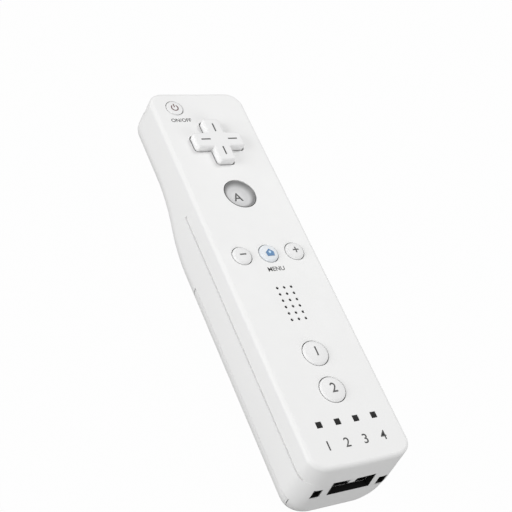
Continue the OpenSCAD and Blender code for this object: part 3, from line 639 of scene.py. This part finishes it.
def weighEnd(piece, y, sideRound, underRound, low, top):  # rounds an end more at its sides than under it
    form = bodyForm
    grid = bmesh.from_edit_mesh(piece.data)
    layers = grid.edges.layers.float
    layer = layers.get("bevel_weight_edge") or layers.new("bevel_weight_edge")
    for edge in grid.edges:
        spot = middle(edge)
        if all(abs(v.co.y - y) < slack for v in edge.verts) and spot.z < top - spare:
            rise = min(max((spot.z - low) / form["backRound"], 0), 1)
            edge[layer] = (underRound + (sideRound - underRound) * rise) / form["nearCorner"]
    bmesh.update_edit_mesh(piece.data)


def makeRearSkin(name):
    form = bodyForm
    turn = 2 * math.atan(form["headZ"] / form["shoulderRun"])
    radius = form["shoulderRun"] / (2 * math.sin(turn))
    shoulderEnd = form["shoulderY"] + form["shoulderRun"]
    top = radius - form["skinSpare"]
    skin = gripSheet(name, 0, nearY, top)
    push(y=form["shoulderY"] - nearY)
    bends = [(-turn, (0, form["shoulderY"], radius)), (turn, (0, shoulderEnd, form["headZ"] - radius))]
    for bend, centre in bends:
        bpy.ops.mesh.spin(steps=form["shoulderSteps"], angle=bend, center=centre, axis=(1, 0, 0))
    push(y=farY - shoulderEnd)
    outward()
    weighEnd(skin, nearY, form["nearCorner"], form["nearUnder"], 0, top)
    weighEnd(skin, farY, form["farCorner"], form["farUnder"], form["headZ"], form["headZ"] + top)
    modify(skin, "BEVEL", width=form["nearCorner"], segments=form["cornerSteps"], limit_method="WEIGHT",
           use_clamp_overlap=False)
    edit(skin)
    everything()
    bpy.ops.mesh.bisect(plane_co=(0, 0, seamZ), plane_no=(0, 0, 1), clear_outer=True)
    bowNearEnd(skin)
    return skin


coverLow, coverHigh = boxMm("battery_cover")
triggerLow = boxMm("rear_trigger")[0]
housingLow, housingHigh = boxMm("socket_housing")
coverForm = {
    "y0": coverLow[1], "y1": coverHigh[1], "edge": 9.4, "gap": 0.25, "endGap": 0.45, "sideGap": 0.09,
    "thick": 1.5, "endRound": 1.6, "under": 0.02, "hingeX": 5.6, "hingeY": coverLow[1] + 1.6, "hingeZ": 1.6,
    "pin": 0.7, "pinSpare": 0.6, "eyeWide": 2.0, "eyeTrim": 0.25, "armIn": 0.5, "armLow": 0.5, "armHigh": 2.7,
    "earWide": 1.4, "earGap": 0.2, "earTrim": 0.05, "footLow": 0.6, "footLong": 3, "notchLong": 1.8,
    "notchHigh": 4.2,
}
triggerForm = {
    "wide": 16.0, "gap": 0.4, "length": pivotY - triggerLow[1], "top": pivotZ - 2.0, "topBand": 0.1,
    "tipZ": triggerLow[2], "tipRound": 1.6, "scoop": 34.0, "hub": 2.3, "frontY": pivotY + 1.3, "edge": 0.7,
    "crease": 50, "swing": 1.7, "webRear": 2.0, "webDown": 1, "webFront": 0.3,
}
socketForm = {
    "wide": 15.0, "low": housingLow[2] + 1.1, "high": housingHigh[2] - 1.0, "deep": 4, "mouthInset": 0.16,
    "slotX": 11.7, "slotWide": 3.2, "slotLow": housingLow[2] + 0.3, "slotHigh": housingLow[2] + 4.5,
    "slotInset": 0.6, "keyWide": 2.2, "keyHigh": 3.0, "keyIn": 0.3, "keyDeep": 1.6, "keyRoot": 0.15,
    "lining": 0.25, "liningFit": 0.02, "liningPast": 0.1, "backThick": 0.3,
}


def makeRearShell():
    form = bodyForm
    shell = makeRearSkin("rearShell")
    modify(shell, "SOLIDIFY", thickness=form["wall"], offset=-1, use_even_offset=True, use_rim=True)
    leanNearEnd(shell)
    cut(shell, seamGroove())
    cover = coverForm
    trigger = triggerForm
    socket = socketForm
    triggerSide = trigger["wide"] / 2 + trigger["gap"]
    socketSide = socket["wide"] / 2
    socketEnd = nearY + socket["deep"]
    slotSide = socket["slotWide"] / 2
    boreLong = screwForm["boreLong"]
    tools = [
        bar("coverHole", (-halfWide - spare, cover["y0"] - cover["gap"], -spare),
            (halfWide + spare, cover["y1"] + cover["endGap"], cover["edge"])),
        bar("triggerHole", (-triggerSide, pivotY - trigger["length"] - trigger["swing"], -spare),
            (triggerSide, trigger["frontY"] + trigger["gap"], trigger["top"] + spare)),
        bar("socketHole", (-socketSide, nearY - spare, socket["low"]),
            (socketSide, socketEnd, socket["high"])),
    ]
    for side in (-1, 1):
        slotX = side * socket["slotX"]
        tools.append(bar("slotHole", (slotX - slotSide, nearY - spare, socket["slotLow"]),
                         (slotX + slotSide, socketEnd, socket["slotHigh"])))
        tools += [rod("screwBore", screwForm["bore"], (side * x, y, seat - boreLong / 2), boreLong, sides=40)
                  for x, y, seat, foot, outer in screwForm["places"]]
    cut(shell, joined(tools))
    cut(shell, windowHole())
    keyFront = nearY + leanBack(socket["high"]) + socket["keyIn"]
    key = bar("socketKey", (-socket["keyWide"] / 2, keyFront, socket["high"] - socket["keyHigh"]),
              (socket["keyWide"] / 2, keyFront + socket["keyDeep"], socket["high"] + socket["keyRoot"]))
    joined([shell, key])
    return finishPiece(shell, "body", "bodyWhite", ["rear_shell"])


def uWall(name, inset, y0, y1, top):
    piece = gripSheet(name, inset, y0, top)
    thicken(y=y1 - y0)
    return piece


bayForm = {
    "y0": housingHigh[1] + 1.5, "y1": coverForm["y1"] - 9.0, "wall": 1.4, "wallFit": 0.35, "top": 17.2,
    "rib": 1.2, "ribX": 13.0, "boardLow": 19.4, "shelf": 13.2, "shelfSide": 1.5, "shelfNear": 2.4,
    "pairShelf": 15.0, "pairHole": 2.1, "pairDeep": 6, "bossWide": 2.2, "bossFoot": 1, "ledgeFit": 0.12,
    "ledgeLong": 0.8, "ledgePast": 0.1, "play": 0.02,
}


def pillar(x, y, seat, foot, outer):  # a hollow post for a case screw
    form = screwForm
    top = seamZ - form["topGap"]
    ledge = seat + form["seatUp"]
    ring = [(form["bore"], foot), (outer, foot), (outer, top), (form["shank"], top), (form["shank"], ledge),
            (form["bore"], ledge), (form["bore"], foot)]
    return lathe("pillar", (x, y, 0), ring, 40)


def makeBayFrame():  # walls, shelves, ribs and eyes inside the rear shell
    bay = bayForm
    cover = coverForm
    trigger = triggerForm
    inside = halfWide - bodyForm["wall"] / 2
    coverEnd = cover["y1"] + cover["endGap"]
    bayFar = coverEnd + bay["wall"]
    ceiling = bay["top"] + bay["rib"]
    wallIn = cover["thick"] + bay["wallFit"]
    shelfSide = inside - bay["shelfSide"]
    pairX, pairY = centreMm("pairing_button")
    shelf = bar("pairShelf", (-inside, bay["y1"] + bay["wall"], bay["pairShelf"] - bay["rib"]),
                (inside, bayFar, bay["pairShelf"]))
    cut(shelf, rod("pairHole", bay["pairHole"], (pairX, pairY, bay["pairShelf"]), bay["pairDeep"], sides=40))
    parts = [
        shelf,
        bar("bayCeiling", (-inside, bay["y0"], bay["top"]), (inside, bay["y1"], ceiling)),
        bar("nearShelf", (-shelfSide, nearY + bay["shelfNear"], bay["shelf"] - bay["rib"]),
            (shelfSide, bay["y0"] - bay["wall"], bay["shelf"])),
        uWall("bayNear", wallIn, bay["y0"] - bay["wall"], bay["y0"], ceiling),
        uWall("bayFar", wallIn, bay["y1"], bay["y1"] + bay["wall"], ceiling),
        uWall("coverLedge", cover["thick"] + bay["ledgeFit"], cover["y1"] - bay["ledgeLong"],
              coverEnd + bay["ledgePast"], cover["edge"]),
        uWall("bayEnd", bodyForm["wall"] / 2, coverEnd + bay["play"], bayFar, bay["pairShelf"] - bay["play"]),
    ]
    halfRib = bay["rib"] / 2
    halfBoss = bay["bossWide"] / 2
    halfEye = cover["eyeWide"] / 2
    hub = trigger["hub"]
    bossLow = bodyForm["headZ"] + bay["bossFoot"]
    armNear = cover["y0"] - cover["gap"] - cover["armIn"]
    for side in (-1, 1):
        ribX = side * bay["ribX"]
        bossX = side * (trigger["wide"] / 2 + trigger["gap"] + halfBoss)
        eyeX = side * cover["hingeX"]
        parts += [
            bar("boardRib", (ribX - halfRib, bay["y0"], ceiling),
                (ribX + halfRib, bay["y1"], bay["boardLow"])),
            bar("triggerBoss", (bossX - halfBoss, pivotY - hub, bossLow),
                (bossX + halfBoss, pivotY + hub, pivotZ + hub)),
            rod("hingeEye", cover["hingeZ"] - cover["eyeTrim"], (eyeX, cover["hingeY"], cover["hingeZ"]),
                cover["eyeWide"], alongX),
            bar("hingeArm", (eyeX - halfEye, armNear, cover["armLow"]),
                (eyeX + halfEye, cover["hingeY"], cover["armHigh"])),
        ]
        parts += [pillar(side * x, y, seat, foot, outer) for x, y, seat, foot, outer in screwForm["places"]]
    inner = joined(parts)
    return finishPiece(inner, "body", "bodyWhite")


def makeCover():
    form = coverForm
    cover = makeRearSkin("batteryCover")
    modify(cover, "SOLIDIFY", thickness=form["thick"], offset=-1, use_even_offset=True, use_rim=True)
    block = bar("coverBlock", (-halfWide - spare, form["y0"], -form["under"]),
                (halfWide + spare, form["y1"], form["edge"] - form["sideGap"]))
    edit(block, "EDGE")
    pick(block, "EDGE", lambda e: middle(e).y < form["y0"] + slack and middle(e).z < 0)
    bevel(form["endRound"], 8)
    cut(cover, block, "INTERSECT")
    notch = form["eyeWide"] / 2 + form["earGap"]
    earWide = form["earWide"]
    halfEar = earWide / 2
    reach = notch + halfEar
    pinLong = 2 * notch + form["pinSpare"]
    hingeY = form["hingeY"]
    hingeZ = form["hingeZ"]
    eyes = [side * form["hingeX"] for side in (-1, 1)]
    cut(cover, joined([bar("eyeNotch", (x - notch, form["y0"] - spare, -spare),
                           (x + notch, hingeY + form["notchLong"], form["notchHigh"])) for x in eyes]))
    parts = [cover]
    for x in eyes:
        parts.append(rod("hingePin", form["pin"], (x, hingeY, hingeZ), pinLong, alongX, 32))
        for earX in (x - reach, x + reach):
            parts += [
                rod("hingeEar", hingeZ - form["earTrim"], (earX, hingeY, hingeZ), earWide, alongX, 40),
                bar("earFoot", (earX - halfEar, hingeY, form["footLow"]),
                    (earX + halfEar, hingeY + form["footLong"], 2 * hingeZ)),
            ]
    return finishPiece(joined(parts), "battery_cover", "bodyWhite", ["battery_cover"])


makeFrontShell()
makeRearShell()
makeBayFrame()
makeCover()
print("shells ready")


# Buttons

def capFoot(radius):  # the hidden stem and flange that a cap stands on
    fit = capFit
    flangeLow = faceIn - fit["flangeThick"]
    flangeR = radius + fit["gap"] + fit["flangeWide"]
    top = faceIn - fit["play"]
    return [(0, fit["stemLow"]), (fit["stem"], fit["stemLow"]), (fit["stem"], flangeLow),
            (flangeR, flangeLow), (flangeR, top), (radius, top)]


def capProfile(form):
    top = faceZ + form["rise"] - form["crown"]
    edge = form["edge"]
    flat = form["radius"] - edge
    dome = (flat ** 2 + form["crown"] ** 2) / (2 * form["crown"])
    reach = math.degrees(math.asin(flat / dome))
    steps = capFit["steps"]
    return (capFoot(form["radius"]) + arc(flat, top - edge, edge, 0, capFit["edgeTurn"], steps)
            + arc(0, top + form["crown"] - dome, dome, 90 - reach, 90, steps)[1:])


def makeCap(name, form):
    x, y = centreMm(form["node"])
    cap = lathe(name, (x, y, 0), capProfile(form))
    return finishPiece(cap, form["node"], form["finish"], [form["node"]])


def dishZ(reach):  # height of the dish at a distance from its middle
    form = mainForm
    part = min(reach / (form["radius"] - form["rim"]), 1)
    return form["top"] - form["dish"] * (1 - part ** form["bowl"])


def makeMainButton():
    form = mainForm
    radius = form["radius"]
    lip = form["lip"]
    dishR = radius - form["rim"]
    spots = [dishR * (1 - i / form["rings"]) for i in range(form["rings"] + 1)]
    profile = (capFoot(radius) + arc(radius - lip, form["top"] - lip, lip, 0, 90, 3)
               + [(reach, dishZ(reach)) for reach in spots])
    x, y = centreMm("main_button")
    button = lathe("mainButton", (x, y, 0), profile, form["sides"])
    return finishPiece(button, "main_button", "dishGreyPaintedShade", ["main_button"],
                       form["softAngle"])


def makePad():
    form = padForm
    low, high = boxMm("direction_pad")
    x, y = centreMm("direction_pad")
    pad = crossSheet("directionPad", (x, y, low[2]), form["length"], form["arm"], form["corner"])
    thicken(z=high[2] - low[2])
    pick(pad, "EDGE", lambda e: all(v.co.z > high[2] - slack for v in e.verts)
         and any(steep(f) for f in e.link_faces))
    bevel(form["edge"], 6)
    thick = form["flangeThick"]
    flange = rod("padFlange", form["flange"], (x, y, low[2] + thick / 2), thick, sides=72)
    cut(pad, flange, "UNION")
    cut(pad, rod("ballHole", form["ballHole"], (x, y, low[2] + form["ballUp"]), form["ballDeep"], sides=40))
    return finishPiece(pad, "direction_pad", "capWhite", ["direction_pad"])


for capName, capForm in buttonForm.items():
    makeCap(capName + "Cap", capForm)
makeMainButton()
makePad()
print("buttons ready")


# Trigger, window and lamps

def makeTrigger():
    form = triggerForm
    rear = pivotY - form["length"]
    tipY = rear + form["tipRound"]
    headZ = bodyForm["headZ"]
    chordY = form["frontY"] - tipY
    chordZ = headZ - form["tipZ"]
    chord = math.hypot(chordY, chordZ)
    backOff = math.sqrt(form["scoop"] ** 2 - chord ** 2 / 4)
    centreY = (form["frontY"] + tipY) / 2 + backOff * chordZ / chord
    centreZ = (headZ + form["tipZ"]) / 2 - backOff * chordY / chord
    start = math.degrees(math.atan2(headZ - centreZ, form["frontY"] - centreY))
    end = math.degrees(math.atan2(form["tipZ"] - centreZ, tipY - centreY))
    outline = ([(form["frontY"], form["top"])] + arc(centreY, centreZ, form["scoop"], start, end, 20)
               + arc(tipY, form["tipZ"] + form["tipRound"], form["tipRound"], 270, 180, 6)[1:]
               + [(rear, form["top"])])
    trigger = chain("rearTrigger", outline)
    everything()
    bpy.ops.mesh.edge_face_add()
    thicken(y=form["wide"])
    activate(trigger)
    trigger.rotation_euler = (0, 0, math.pi / 2)
    trigger.location = (form["wide"] / 2, 0, 0)
    settle()
    edit(trigger, "EDGE")
    pick(trigger, "EDGE", lambda e: len(e.link_faces) == 2 and middle(e).z < form["top"] - form["topBand"]
         and e.calc_face_angle() > math.radians(form["crease"]))
    bevel(form["edge"], 4, clamp=True)
    hub = rod("triggerHub", form["hub"], (0, pivotY, pivotZ), form["wide"], alongX)
    half = form["wide"] / 2 - slack
    web = bar("triggerWeb", (-half, pivotY - form["webRear"], form["top"] - form["webDown"]),
              (half, form["frontY"] - form["webFront"], pivotZ))
    trigger = joined([trigger, hub, web])
    return finishPiece(trigger, "rear_trigger", "bodyWhite", ["rear_trigger"])


def makeWindow():
    form = windowForm
    back = farY - bodyForm["wall"]
    front = farY - form["sunk"]
    pane = windowBlock("pointerWindow", -form["play"], back, front)
    pick(pane, "EDGE", lambda e: all(v.co.y > front - slack for v in e.verts))
    bevel(form["edge"], 3)
    rim = windowBlock("windowRim", form["rim"], back - form["rimThick"], back)
    return finishPiece(joined([pane, rim]), "body", "windowDark", ["pointer_window"])


def makeLamps():
    form = lampForm
    half = form["side"] / 2 - form["gap"]
    low = faceIn - form["under"]
    top = faceZ - form["sunk"]
    lamps = joined([bar("lampWindows", (x - half, y - half, low), (x + half, y + half, top))
                    for x, y in lampSpots()])
    edit(lamps, "EDGE")
    pick(lamps, "EDGE", lambda e: all(v.co.z > top - slack for v in e.verts))
    bevel(form["edge"], 2)
    return finishPiece(lamps, "body", "lampDark", ["lamp_windows"])


def sleeve(name, low, high, lining):  # a black tube along Y with walls as thick as the lining
    tube = bar(name, low, high)
    cut(tube, bar("sleeveHole", (low[0] + lining, low[1] - spare, low[2] + lining),
                  (high[0] - lining, high[1] + spare, high[2] - lining)))
    return tube


def makeSocketLining():  # black walls in the socket's mouth and both latch slots
    form = socketForm
    fit = form["liningFit"]
    thick = form["backThick"]
    half = form["wide"] / 2 + fit
    back = nearY + bodyForm["wall"] + form["liningPast"]
    parts = [sleeve("socketLining", (-half, nearY + form["mouthInset"], form["low"] - fit),
                    (half, back, form["high"] + fit), form["lining"])]
    for side in (-1, 1):
        near = side * form["slotX"] - form["slotWide"] / 2 - fit
        far = side * form["slotX"] + form["slotWide"] / 2 + fit
        low = (near, nearY + form["slotInset"], form["slotLow"] - fit)
        parts.append(sleeve("slotLining", low, (far, back, form["slotHigh"] + fit), form["lining"]))
        parts.append(bar("slotBack", (near - thick, back - thick, form["slotLow"] - thick),
                         (far + thick, back, form["slotHigh"] + thick)))
    lining = joined(parts)
    leanNearEnd(lining)
    return finishPiece(lining, "body", "blackPlastic")


makeTrigger()
makeWindow()
makeLamps()
makeSocketLining()
print("trigger, window and lamps ready")


# Printed marks

inkLift = 0.03
markForm = {
    "ticks": {"length": 3.55, "wide": 0.52, "out": 5.1},
    "minus": (2.3, 0.5), "plus": (2.2, 0.45), "numbers": {"one": "1", "two": "2"}, "numberSize": 4.5,
    "letter": "A", "letterSize": 4.8, "letterUp": 0.03,
    "power": {"radius": 1.2, "wide": 0.38, "open": 70, "bar": (0.36, 1.5), "barUp": 0.95, "barLift": 0.004},
    "house": {"wide": 2.5, "wall": 1.5, "roof": 1.25, "eaves": 1.18, "sunk": 0.04, "gem": 0.68,
              "gemDown": 0.15, "gemSunk": 0.03},
    "words": {"switchWords": ("ON/OFF", 2.1, (-9.4, 60.5)), "menuWord": ("MENU", 2.3, (0.2, -2.6))},
    "lampSize": 4.3, "lampDown": 7.0, "bold": 0.03, "endRound": 0.3, "sunk": 0.01, "stemSunk": 0.014,
    "faceUp": 0.005,
}


def ink(piece, body, finish="inkGrey"):
    return finishPiece(piece, body, finish)


def lay(piece, height):  # lays a flat mark on a curved face
    edit(piece, "VERT")
    shift(piece, 2, lambda spot: height(spot.x, spot.y))
    return piece


def textMark(name, words, size, place):
    deselect()
    bpy.ops.object.text_add()
    label = bpy.context.object
    label.data.body = words
    label.data.size = size
    label.data.align_x = "CENTER"
    label.data.align_y = "CENTER"
    label.data.extrude = inkLift / 2
    label.data.offset = markForm["bold"]
    bpy.ops.object.convert(target="MESH")
    label = named(name)
    label.location = place
    settle()
    return label


def stroke(name, centre, wide, high, z):
    piece = bar(name, (centre[0] - wide / 2, centre[1] - high / 2, z - inkLift),
                (centre[0] + wide / 2, centre[1] + high / 2, z + inkLift))
    edit(piece, "EDGE")
    pick(piece, "EDGE", lambda e: abs(e.verts[0].co.z - e.verts[1].co.z) > inkLift)
    bevel(min(wide, high) * markForm["endRound"], 3)
    return piece


def ringMark(name, form, centre, z):  # an open ring with a bar in its opening
    ring = sheet(name, form["wide"], 2 * inkLift, (form["radius"], 0, z), facingY)
    edit(ring)
    everything()
    bpy.ops.mesh.spin(steps=32, angle=math.radians(360 - form["open"]), center=(0, 0, z), axis=(0, 0, 1))
    outward()
    activate(ring)
    ring.rotation_euler = (0, 0, math.radians(90 - form["open"] / 2))
    ring.location = (centre[0], centre[1], 0)
    settle()
    wide, high = form["bar"]
    mast = stroke("ringBar", (centre[0], centre[1] + form["barUp"]), wide, high, z + form["barLift"])
    return joined([ring, mast])


def houseMark(name, form, centre, z):  # a house: a square pulled up into a roof
    piece = sheet(name, form["wide"], form["wall"], (0, -form["wall"] / 2, z))
    edit(piece, "EDGE")
    pick(piece, "EDGE", lambda e: middle(e).y > -slack)
    bpy.ops.mesh.subdivide(number_cuts=1)
    pick(piece, "VERT", lambda v: abs(v.co.x) < slack and v.co.y > -slack)
    bpy.ops.transform.translate(value=(0, form["roof"], 0))
    pick(piece, "VERT", lambda v: abs(v.co.x) > slack and v.co.y > -slack)
    bpy.ops.transform.resize(value=(form["eaves"], 1, 1), center_override=(0, 0, z))
    thicken(z=inkLift)
    bpy.ops.transform.translate(value=(centre[0], centre[1], 0))
    return piece


def capTop(name):
    return faceZ + buttonForm[name]["rise"]


def makeMarks():
    form = markForm
    sunk = form["sunk"]
    for name, word in form["numbers"].items():
        node = buttonForm[name]["node"]
        x, y = centreMm(node)
        ink(textMark(name + "Mark", word, form["numberSize"], (x, y, capTop(name) - sunk)), node)
    ink(stroke("minusMark", centreMm("minus_button"), *form["minus"], capTop("minus") - sunk), "minus_button")
    long, thin = form["plus"]
    centre = centreMm("plus_button")
    ink(joined([stroke("plusMark", centre, long, thin, capTop("plus") - sunk),
                stroke("plusStem", centre, thin, long, capTop("plus") - form["stemSunk"])]), "plus_button")
    x, y = centreMm("main_button")
    letter = textMark("letterMark", form["letter"], form["letterSize"], (x, y, form["letterUp"]))
    ink(lay(letter, lambda px, py: dishZ(math.hypot(px - x, py - y))), "main_button")
    centre = centreMm("power_button")
    ink(ringMark("powerMark", form["power"], centre, capTop("power") - sunk), "power_button", "inkRed")
    centre = centreMm("house_button")
    house = form["house"]
    ink(houseMark("houseMark", house, centre, capTop("house") - house["sunk"]), "house_button", "inkBlue")
    gem = sheet("houseGem", house["gem"], house["gem"], (0, 0, 0), (0, 0, math.pi / 4))
    edit(gem)
    thicken(z=inkLift)
    gemPlace = (centre[0], centre[1] - house["gemDown"], capTop("house") - house["gemSunk"])
    bpy.ops.transform.translate(value=gemPlace)
    ink(gem, "house_button", "inkSky")
    x, y = centreMm("direction_pad")
    top = boxMm("direction_pad")[1][2]
    tick = form["ticks"]
    ticks = [stroke("padTicks", (x + side * tick["out"], y), tick["length"], tick["wide"], top)
             for side in (-1, 1)]
    ticks += [stroke("padTick", (x, y + side * tick["out"]), tick["wide"], tick["length"], top)
              for side in (-1, 1)]
    ink(joined(ticks), "direction_pad")
    flatZ = faceZ + form["faceUp"]
    for name, (words, size, (x, y)) in form["words"].items():
        ink(textMark(name, words, size, (x, y, flatZ)), "body")
    digits = [textMark("lampNumbers", str(i + 1), form["lampSize"], (x, y - form["lampDown"], flatZ))
              for i, (x, y) in enumerate(lampSpots())]
    ink(joined(digits), "body")


def makeGrilleShadeDiscs():  # black discs just inside the speaker holes: painted shade for the dark depth of each hole
    form = grilleForm
    z = faceZ - form["shadeDiscDown"]
    discs = [rod("speakerHoleShade", form["radius"] - form["shadeDiscGap"], (x, y, z), form["shadeDiscThick"],
                 sides=form["sides"]) for x, y in grilleSpots()]
    return ink(joined(discs), "body", "blackPlastic")


makeMarks()
makeGrilleShadeDiscs()
print("marks ready")


# Finishes of the solids that stay

keptFinishes = {
    "steel": ["pad_ball", "trigger_pin", "trigger_spring", "radio_module", "crystal_can", "speaker_magnet",
              "rumble_motor", "left_coil", "right_coil", "bridge_plate", "terminal_plates", "case_screws"],
    "blackPlastic": ["pointer_camera", "speaker_frame", "speaker_cone", "socket_housing"],
    "chipBlack": ["trigger_switch", "pairing_switch", "processor", "motion_sensor"],
    "greyPlastic": ["pad_post", "rumble_clip"],
    "rubberGrey": ["power_dome", "pad_domes", "main_dome", "minus_dome", "house_dome", "plus_dome",
                   "one_dome", "two_dome"],
    "leftCell": ["left_cell"],
    "rightCell": ["right_cell"],
    "pairRed": ["pairing_button"],
    "lensGlass": ["camera_lens"],
    "boardGreen": ["main_board"],
    "lampClear": ["player_lamps"],
    "brass": ["socket_contacts"],
    "weightIron": ["rumble_weight"],
}
for finishName, nodeNames in keptFinishes.items():
    for nodeName in nodeNames:
        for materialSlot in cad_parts[nodeName].material_slots:
            materialSlot.material = finishes[finishName]
print("kept solids dressed:", sum(len(nodeNames) for nodeNames in keptFinishes.values()))


# Floor, light and camera

cameraForm = {"place": (-192.671, -166.752, 279.403), "turn": (40.3243, -22.5378, -23.5847),
              "lens": 79.826, "sensor": 36.0, "clip": 0.01}
stageForm = {"floorSize": 4, "floorDown": 0.0002, "floorTone": 0.22, "floorRough": 0.8, "floorGlow": 0.985,
             "sky": 0.56}
lampRows = {
    "keyLight": {"place": (520, 420, 640), "aim": (0, 0, 20), "size": 300, "power": 2.6},
    "fillLight": {"place": (-820, 60, 230), "aim": (0, 0, 20), "size": 600, "power": 5.0},
    "nearLight": {"place": (400, -740, 360), "aim": (0, 0, 20), "size": 500, "power": 2.0},
}


def makeFloor():
    form = stageForm
    floor = sheet("paleFloor", form["floorSize"], form["floorSize"], (0, 0, -form["floorDown"]))
    material = bpy.data.materials.new("floorWhite")
    material.use_nodes = True
    tree = material.node_tree
    shader = tree.nodes["Principled BSDF"]
    shader.inputs["Base Color"].default_value = tone(form["floorTone"])
    shader.inputs["Roughness"].default_value = form["floorRough"]
    start = Wire(tree)
    ray = start.add("ShaderNodeLightPath", {}, {}, "Is Camera Ray")
    glow = start.add("ShaderNodeEmission", {}, {"Color": tone(1.0), "Strength": 1.0})
    matte = Wire(tree, shader.outputs[0])
    mixed = start.add("ShaderNodeMixShader", {}, {0: ray * form["floorGlow"], 1: matte, 2: glow})
    tree.links.new(mixed.socket, tree.nodes["Material Output"].inputs["Surface"])
    floor.data.materials.append(material)


def hang(name, data, place):
    holder = bpy.data.objects.new(name, data)
    bpy.context.collection.objects.link(holder)
    holder.location = [value * mm for value in place]
    return holder


def makeLight(name, form):
    lamp = bpy.data.lights.new(name, "AREA")
    lamp.shape = "DISK"
    lamp.size = form["size"] * mm
    lamp.energy = form["power"]
    holder = hang(name, lamp, form["place"])
    away = [a - b for a, b in zip(form["place"], form["aim"])]
    flat = math.hypot(away[0], away[1])
    holder.rotation_euler = (math.atan2(flat, away[2]), 0, math.atan2(away[1], away[0]) + math.pi / 2)


def makeSky():
    world = bpy.data.worlds.new("studio")
    world.use_nodes = True
    sky = world.node_tree.nodes["Background"]
    sky.inputs["Color"].default_value = tone(1.0)
    sky.inputs["Strength"].default_value = stageForm["sky"]
    bpy.context.scene.world = world


def makeCamera():
    form = cameraForm
    eye = bpy.data.cameras.new("photoCamera")
    eye.lens = form["lens"]
    eye.sensor_width = form["sensor"]
    eye.clip_start = form["clip"]
    holder = hang("photoCamera", eye, form["place"])
    holder.rotation_euler = [math.radians(value) for value in form["turn"]]
    bpy.context.scene.camera = holder


makeFloor()
for lightName, lightForm in lampRows.items():
    makeLight(lightName, lightForm)
makeSky()
makeCamera()
bpy.context.scene.view_settings.view_transform = "Standard"
print("stage ready")

deselect()
